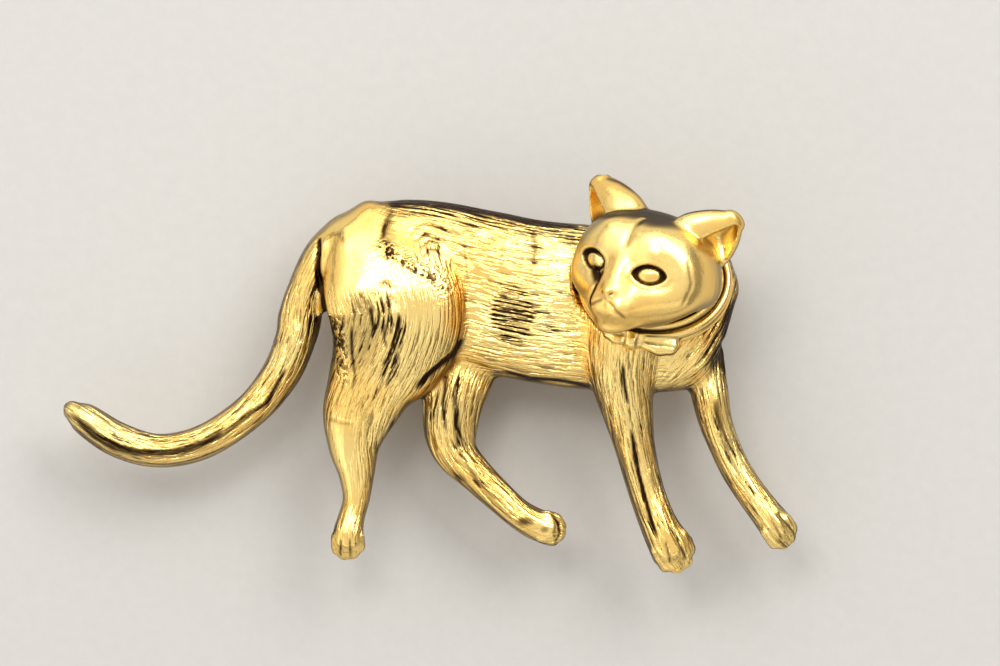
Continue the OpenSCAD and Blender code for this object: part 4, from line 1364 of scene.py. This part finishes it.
HAIR_STRETCH = (0.40, 2.9)  # cells of the finest strokes' noise for each mm along and across the fur
HEAVY_PITCH = 0.40  # mm between the heavy gaps
GRAIN_SCALE = 2600.0
DIMPLE_SCALE = 2500.0
DRIFT_SCALE = 130.0
BUMP_HEIGHT = 0.00006  # metres
HEAVY_BUMP = 2.0  # heights as multiples of it
DIMPLE_BUMP = 1.4
GAP_DARK = 0.55  # shares of the antiquing in the gaps and the dimples, and of the painted dark reflection in the heavy gaps
HEAVY_PAINTED_REFLECTION = 0.95
DIMPLE_DARK = 0.50
ROUGH = (0.12, 0.22, 0.06)  # what drift, hollows and grain add to the roughness


def fur_layers(recipe, keys):
    """Noise stretched along the fur, as three wires: the height between the finest strokes, their gaps, and
    heavy gaps where a sine across the fur, bent by the noise, is high. The sets of coordinates are added up
    by the share that each has."""
    layers = []
    for key in keys:
        split = recipe.node("ShaderNodeSeparateXYZ", {}, {0: recipe.attribute(key, "Vector")}).socket.node
        run, arc, share = (Wire(recipe, split.outputs[k]) for k in range(3))
        spot = recipe.node("ShaderNodeCombineXYZ", {}, {0: run * HAIR_STRETCH[0], 1: arc * HAIR_STRETCH[1]})
        hair = recipe.clouds(spot, 1.0, 2.5)
        ripple = arc * (2 * np.pi / HEAVY_PITCH) + hair * 3.0 + recipe.clouds(spot, 0.5, 0.0) * 6.0
        ripple = ripple.math("SINE", ripple)
        heavy = ripple.step(0.0, 0.5) * (1.0 - hair.step(0.52, 0.62)) * share
        layers.append((hair.step(0.34, 0.60) * share, (1.0 - hair.step(0.33, 0.43)) * share, heavy))
    return [reduce(add, layer) for layer in zip(*layers)]


def gold(name, finish, grain, dull=0.0, fur=()):
    """Plated metal. Roughness and colour drift with noise, and both change with the attribute of antiquing
    and painted shade, which runs from 0 to 1. Bump adds a grain of pits and brushing. With keys of fur
    coordinates it adds the finest strokes, the dimples of the pitted bands, painted dark reflection in the
    heavy gaps, and the deeper colour painted where gold mirrors gold."""
    recipe = Recipe(name)
    place = recipe.node("ShaderNodeTexCoord", output="Object")
    hollow = recipe.attribute("hollow")
    drift = recipe.clouds(place, DRIFT_SCALE)
    fine = recipe.clouds(place, GRAIN_SCALE, 3.0)
    height = (fine - 0.5) * grain
    shine = recipe.blend(drift.step(0.35, 0.65), colour(finish.gold), colour(finish.warm_gold))
    total_antique_and_shade = hollow
    if fur:
        ridges, gaps, heavy = fur_layers(recipe, fur)
        depth = recipe.attribute("fur_depth")
        deep = (depth - 1.0).at_least(0.0)
        pits = recipe.attribute("pits")
        dimples = recipe.clouds(place, DIMPLE_SCALE, 1.0)
        height = height + ridges * depth * (1.0 - pits) * finish.fur_bump - deep * heavy * HEAVY_BUMP
        height = height + dimples.step(0.35, 0.6) * pits * DIMPLE_BUMP
        total_antique_and_shade = hollow + gaps * depth.at_most(1.0) * GAP_DARK + deep * heavy * HEAVY_PAINTED_REFLECTION
        total_antique_and_shade = (total_antique_and_shade + (1.0 - dimples.step(0.40, 0.54)) * pits * DIMPLE_DARK).at_most(1.0)
        # Deeper colour painted where gold mirrors gold
        shine = recipe.blend(recipe.attribute("painted_gold_reflection"), shine, colour(finish.deep_gold))
    bump = recipe.node("ShaderNodeBump", {}, {"Height": height, "Distance": BUMP_HEIGHT, "Strength": 1.0})
    # The dark colour stands for antiquing and is also painted here as shade and as dark reflections
    tone = recipe.blend(total_antique_and_shade.step(0.05, 0.95), shine, colour(finish.hollow))
    rough = (drift - 0.5) * ROUGH[0] + hollow * ROUGH[1] + (fine - 0.5) * ROUGH[2]
    roughness = rough + (finish.roughness + dull)
    return recipe.finish({"Base Color": tone, "Metallic": 1.0, "Roughness": roughness, "Normal": bump})


def pin_plate(finish):
    """Plate of the pin fitting, brushed along X and duller in places."""
    recipe = Recipe("pin_metal")
    place = recipe.node("ShaderNodeTexCoord", output="Object")
    stretch = {0: place, 1: (1.0, 8.0, 8.0)}
    lines = recipe.clouds(recipe.node("ShaderNodeVectorMath", {"operation": "MULTIPLY"}, stretch), 420.0, 4.0)
    dull = recipe.clouds(place, 160.0)
    tone = recipe.blend(dull.step(0.35, 0.7), colour(finish.pin), colour([c * 0.7 for c in finish.pin]))
    bump = recipe.node("ShaderNodeBump", {}, {"Height": lines, "Distance": 0.00002, "Strength": 0.6})
    roughness = 0.24 + (dull - 0.5) * 0.3
    return recipe.finish({"Base Color": tone, "Metallic": 1.0, "Roughness": roughness, "Normal": bump})


def pale_floor(tint):
    """Matt backing board with a faint fibre."""
    recipe = Recipe("floor")
    place = recipe.node("ShaderNodeTexCoord", output="Object")
    fibre = recipe.clouds(place, 900.0, 4.0)
    tone = recipe.blend(fibre.step(0.3, 0.7), colour(tint), colour([c * 0.975 for c in tint]))
    bump = recipe.node("ShaderNodeBump", {}, {"Height": fibre, "Distance": 0.0001, "Strength": 0.3})
    return recipe.finish({"Base Color": tone, "Roughness": 0.9, "Normal": bump})


def length(name, size, description):
    """Property of a length, whose default is given in mm."""
    kind = {"min": 0, "precision": 5, "unit": "LENGTH"}
    return FloatProperty(name=name, description=description, default=size * MM, **kind)


def angle(name, size, description):
    """Property of an angle, whose default is given in degrees."""
    return FloatProperty(name=name, description=description, default=np.radians(size), subtype="ANGLE")


def tint(name, values, description):
    """Property of a colour."""
    kind = {"min": 0, "max": 1, "subtype": "COLOR"}
    return FloatVectorProperty(name=name, description=description, default=values, **kind)


def plain(name, value, description):
    """Property of a plain number."""
    return FloatProperty(name=name, description=description, default=value, min=0, subtype="FACTOR", max=5)


class CatSizes(bpy.types.PropertyGroup):
    figure_length: length("Length", 64, "Tail tip to the front paws")
    figure_height: length("Height", 34.2, "Hind paw to the rump")
    relief: length("Relief", 5.4, "Ground back to the flank")
    trunk_height: length("Trunk", 14, "Belly to the spine")
    haunch_width: length("Haunch", 12.8, "Widest part of the near haunch")
    far_hind_width: length("Far Hind Leg", 2.8, "Width of the far hind leg")
    near_front_width: length("Near Front Leg", 3.5, "Width of the near front leg")
    far_front_width: length("Far Front Leg", 2.8, "Width of the far front leg")
    tail_width: length("Tail", 3.1, "Width of the tail")
    toe_thickness: length("Toe", 1.25, "Thickness of a toe")
    dish_depth: length("Dish Depth", 2.4, "Depth of the dish in the back")
    rim_width: length("Rim", 2, "Ground rim round the dish")
    pin_depth: length("Pin Depth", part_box("cat_body")[0].z / MM, "Height of the ground back over the floor")


class HeadSizes(bpy.types.PropertyGroup):
    head_width: length("Width", 12.6, "Cheek to cheek")
    head_height: length("Height", 10, "Chin to crown")
    head_depth: length("Depth", 5, "Middle of the head to the face")
    head_rise: length("Rise", 9, "Middle of the head over the ground back")
    head_turn: angle("Turn", 26, "Turn of the face to the left")
    head_dip: angle("Dip", 7, "Nod of the face")
    head_tilt: angle("Tilt", 16, "Lean of the head to the right")
    ear_length: length("Ear Length", 3.9, "Root to tip of an ear")
    ear_width: length("Ear Width", 6.4, "Width of an ear at its root")
    ear_wall: length("Ear Wall", 0.6, "Thickness of an ear round its hollow")
    eye_width: length("Eye", 2.9, "Width of an eye socket")
    eyeball_width: length("Eyeball", 2.1, "Width of an eyeball")


class CollarSizes(bpy.types.PropertyGroup):
    neck_width: length("Neck Width", 10.2, "Width of the neck")
    neck_depth: length("Neck Depth", 8.2, "Depth of the neck")
    neck_lean: angle("Neck Lean", 20, "Lean of the neck to the ears")
    collar_rise: length("Rise", 5.6, "Middle of the collar over the ground back")
    ribbon_width: length("Ribbon Width", 2, "Width of the ribbon along the neck")
    ribbon_thickness: length("Ribbon Thickness", 1.6, "How far the ribbon stands out")
    bow_loop_length: length("Loop", 4, "Length of the bow's longer loop")
    knot_width: length("Knot", 1.8, "Width of the knot")
    seat_gap: length("Seat Gap", 0.05, "Gap between the castings")


class Finish(bpy.types.PropertyGroup):
    gold: tint("Gold", (1.0, 0.745, 0.275), "Bright plate")
    warm_gold: tint("Warm Gold", (1.0, 0.655, 0.19), "Plate where it is worn warmer")
    deep_gold: tint("Deep Gold", (1.0, 0.52, 0.09), "Plate that mirrors other plate")
    # Colour of the antiquing, also painted as shade in creases and under the head and collar, and as dark
    # reflections on the steep sides, the crown and in patches and bands
    hollow: tint("Hollows", (0.026, 0.011, 0.004), "Antiquing in the grooves")
    pin: tint("Pin", (0.80, 0.60, 0.30), "Plate of the pin fitting")
    roughness: plain("Roughness", 0.17, "Roughness of the polished plate")
    fur_bump: plain("Fur Bump", 1.5, "Depth of the finest strokes")


class Stage(bpy.types.PropertyGroup):
    floor: tint("Floor", (0.45, 0.44, 0.425), "Colour of the backing board")
    floor_size: length("Floor Size", 3000, "Width of the board")
    camera_distance: length("Camera", 900, "Height of the camera")
    frame_width: length("Frame", 86.49, "Width of what the camera sees")
    sky: plain("Sky", 0.02, "Brightness of the room")


# Soft boxes. Places, widths and depths are in metres, each box faces the brooch, and brightness is its
# radiance.
# Columns: x, y, z, width, depth, brightness, red, green, blue
LIGHTS = [
    [0.00, 0.00, 0.70, 1.10, 0.90, 0.86, 1.0, 0.98, 0.94],
    [0.00, 0.50, 0.45, 1.30, 0.34, 2.40, 1.0, 0.99, 0.96],
    [0.00, -0.48, 0.42, 1.20, 0.30, 1.05, 1.0, 0.97, 0.92],
    [-0.52, 0.00, 0.42, 0.95, 0.34, 1.35, 1.0, 0.97, 0.92],
    [0.52, 0.00, 0.42, 0.50, 0.30, 0.75, 1.0, 0.95, 0.88],
    [0.00, 0.64, 0.17, 1.30, 0.26, 1.50, 1.0, 0.98, 0.94],
    [0.00, -0.64, 0.17, 1.30, 0.26, 0.70, 1.0, 0.96, 0.90],
    [-0.66, 0.00, 0.17, 1.10, 0.26, 0.90, 1.0, 0.97, 0.92],
    [0.66, 0.00, 0.17, 1.10, 0.26, 0.28, 1.0, 0.94, 0.86],
    [-0.12, 0.22, 0.50, 0.26, 0.17, 8.0, 1.0, 0.99, 0.96],
    [0.26, 0.30, 0.44, 0.40, 0.26, 5.0, 1.0, 0.99, 0.96],
]
FRAME_MIDDLE = (5.97, 3.676, 8.0)  # point in mm that the photo is centred on


def dress(name, built, material, node):
    """Object of a built skin with its material, standing for a node of the solids."""
    thing = put_object(name, finish_mesh(name, *built))
    thing.data.materials.append(material)
    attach(thing, BODY)
    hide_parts(node)
    return thing


def thin_back(cat, normals):
    """Thins the plain back of the cat, which keeps the piece under 200,000 triangles."""
    back = np.flatnonzero(normals[:, 2] < THIN_BACK[0])
    cat.vertex_groups.new(name="back").add(back.tolist(), 1.0, "REPLACE")
    thin = cat.modifiers.new("thin_back", "DECIMATE")
    thin.vertex_group, thin.ratio = "back", 1 - THIN_BACK[1] * len(back) / len(normals)


def lay_floor(stage):
    """The backing board."""
    half = stage.floor_size / 2
    corners = np.array([[-half, -half, 0], [half, -half, 0], [half, half, 0], [-half, half, 0]])
    floor = put_object("floor", put_mesh("floor", corners, np.array([[0, 1, 2, 3]]), scale=1))
    floor.data.materials.append(pale_floor(stage.floor))


def hang_boxes(middle):
    """Soft boxes that face the middle of the frame. A box's energy is its radiance times pi and its area."""
    for number, (x, y, z, width, depth, brightness, *tone) in enumerate(LIGHTS):
        lamp = bpy.data.lights.new(f"softbox_{number}", "AREA")
        lamp.shape, lamp.size, lamp.size_y = "RECTANGLE", width, depth
        lamp.energy, lamp.color = brightness * np.pi * width * depth, tone
        box = put_object(f"softbox_{number}", lamp)
        box.location = middle + [x, y, z]
        box.rotation_euler = Vector((x, y, z)).to_track_quat("Z", "Y").to_euler()
        box.visible_camera = False


def set_camera(scene, stage, middle):
    """Camera straight above the middle, with a lens that shows the width of the frame."""
    lens = bpy.data.cameras.new("camera")
    lens.lens = lens.sensor_width * stage.camera_distance / stage.frame_width
    lens.clip_end = 10
    camera = put_object("camera", lens)
    camera.location = middle + [0, 0, stage.camera_distance]
    scene.camera = camera


def light_room(scene, stage):
    """Faint warm light from all round."""
    world = bpy.data.worlds.new("room")
    world.use_nodes = True
    room = world.node_tree.nodes["Background"].inputs
    room["Color"].default_value = (1, 0.98, 0.95, 1)
    room["Strength"].default_value = stage.sky
    scene.world = world


class BROOCH_OT_cat(bpy.types.Operator):
    """Builds the cast cat with its chased fur"""

    bl_idname = "brooch.cat"
    bl_label = "Cat"

    def execute(self, context):
        size = Size(context.scene)
        made = build_body(size)
        attributes = chase_body(*made, size)
        made[0].points[:, 2] += size.pin_depth
        material = gold("textured_gold", context.scene.brooch_finish, 0.30, fur=("fur_a", "fur_b", "fur_c"))
        cat = dress("cat", (made[0], attributes), material, "cat_body")
        thin_back(cat, made[0].normals())
        return {"FINISHED"}


class BROOCH_OT_head(bpy.types.Operator):
    """Builds the polished head with its face and ears"""

    bl_idname = "brooch.head"
    bl_label = "Head"

    def execute(self, context):
        size = Size(context.scene)
        material = gold("polished_gold_head", context.scene.brooch_finish, 0.35, 0.10)
        dress("head", build_head(size), material, "cat_head")
        return {"FINISHED"}


class BROOCH_OT_collar(bpy.types.Operator):
    """Builds the ribbon collar with its bow"""

    bl_idname = "brooch.collar"
    bl_label = "Collar"

    def execute(self, context):
        size = Size(context.scene)
        material = gold("polished_gold_collar", context.scene.brooch_finish, 0.30, 0.06)
        dress("collar", build_collar(size), material, "bow_collar")
        return {"FINISHED"}


class BROOCH_OT_pin(bpy.types.Operator):
    """Gives the pin fitting its finish"""

    bl_idname = "brooch.pin"
    bl_label = "Pin"

    def execute(self, context):
        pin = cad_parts["pin_back"]
        pin.data.materials.clear()
        pin.data.materials.append(pin_plate(context.scene.brooch_finish))
        return {"FINISHED"}


class BROOCH_OT_stage(bpy.types.Operator):
    """Lays the floor and sets the lights and the camera"""

    bl_idname = "brooch.stage"
    bl_label = "Stage"

    def execute(self, context):
        stage = context.scene.brooch_stage
        middle = np.array(FRAME_MIDDLE) * MM
        lay_floor(stage)
        hang_boxes(middle)
        set_camera(context.scene, stage, middle)
        light_room(context.scene, stage)
        context.scene.view_settings.view_transform = "Standard"
        return {"FINISHED"}


OPERATORS = (BROOCH_OT_cat, BROOCH_OT_head, BROOCH_OT_collar, BROOCH_OT_pin, BROOCH_OT_stage)


class BROOCH_PT_panel(bpy.types.Panel):
    """Sizes, finish and steps of the brooch"""

    bl_idname = "BROOCH_PT_panel"
    bl_label = "Walking Cat Brooch"
    bl_space_type = "VIEW_3D"
    bl_region_type = "UI"
    bl_category = "Brooch"

    def draw(self, context):
        for key in GROUPS:
            group = getattr(context.scene, key)
            column = self.layout.column(align=True)
            column.label(text=key.replace("_", " ").title())
            for name in group.__annotations__:
                column.prop(group, name)
        for operator in OPERATORS:
            self.layout.operator(operator.bl_idname)


GROUPS = {
    "brooch_cat": CatSizes,
    "brooch_head": HeadSizes,
    "brooch_collar": CollarSizes,
    "brooch_finish": Finish,
    "brooch_stage": Stage,
}
CLASSES = (*GROUPS.values(), *OPERATORS, BROOCH_PT_panel)


def register():
    for made in CLASSES:
        bpy.utils.register_class(made)
    for key, group in GROUPS.items():
        setattr(bpy.types.Scene, key, PointerProperty(type=group))


def unregister():
    for key in GROUPS:
        delattr(bpy.types.Scene, key)
    for made in reversed(CLASSES):
        bpy.utils.unregister_class(made)


def main():
    register()
    for operator in OPERATORS:
        getattr(bpy.ops.brooch, operator.bl_idname.split(".")[1])()


if __name__ == "__main__":
    main()
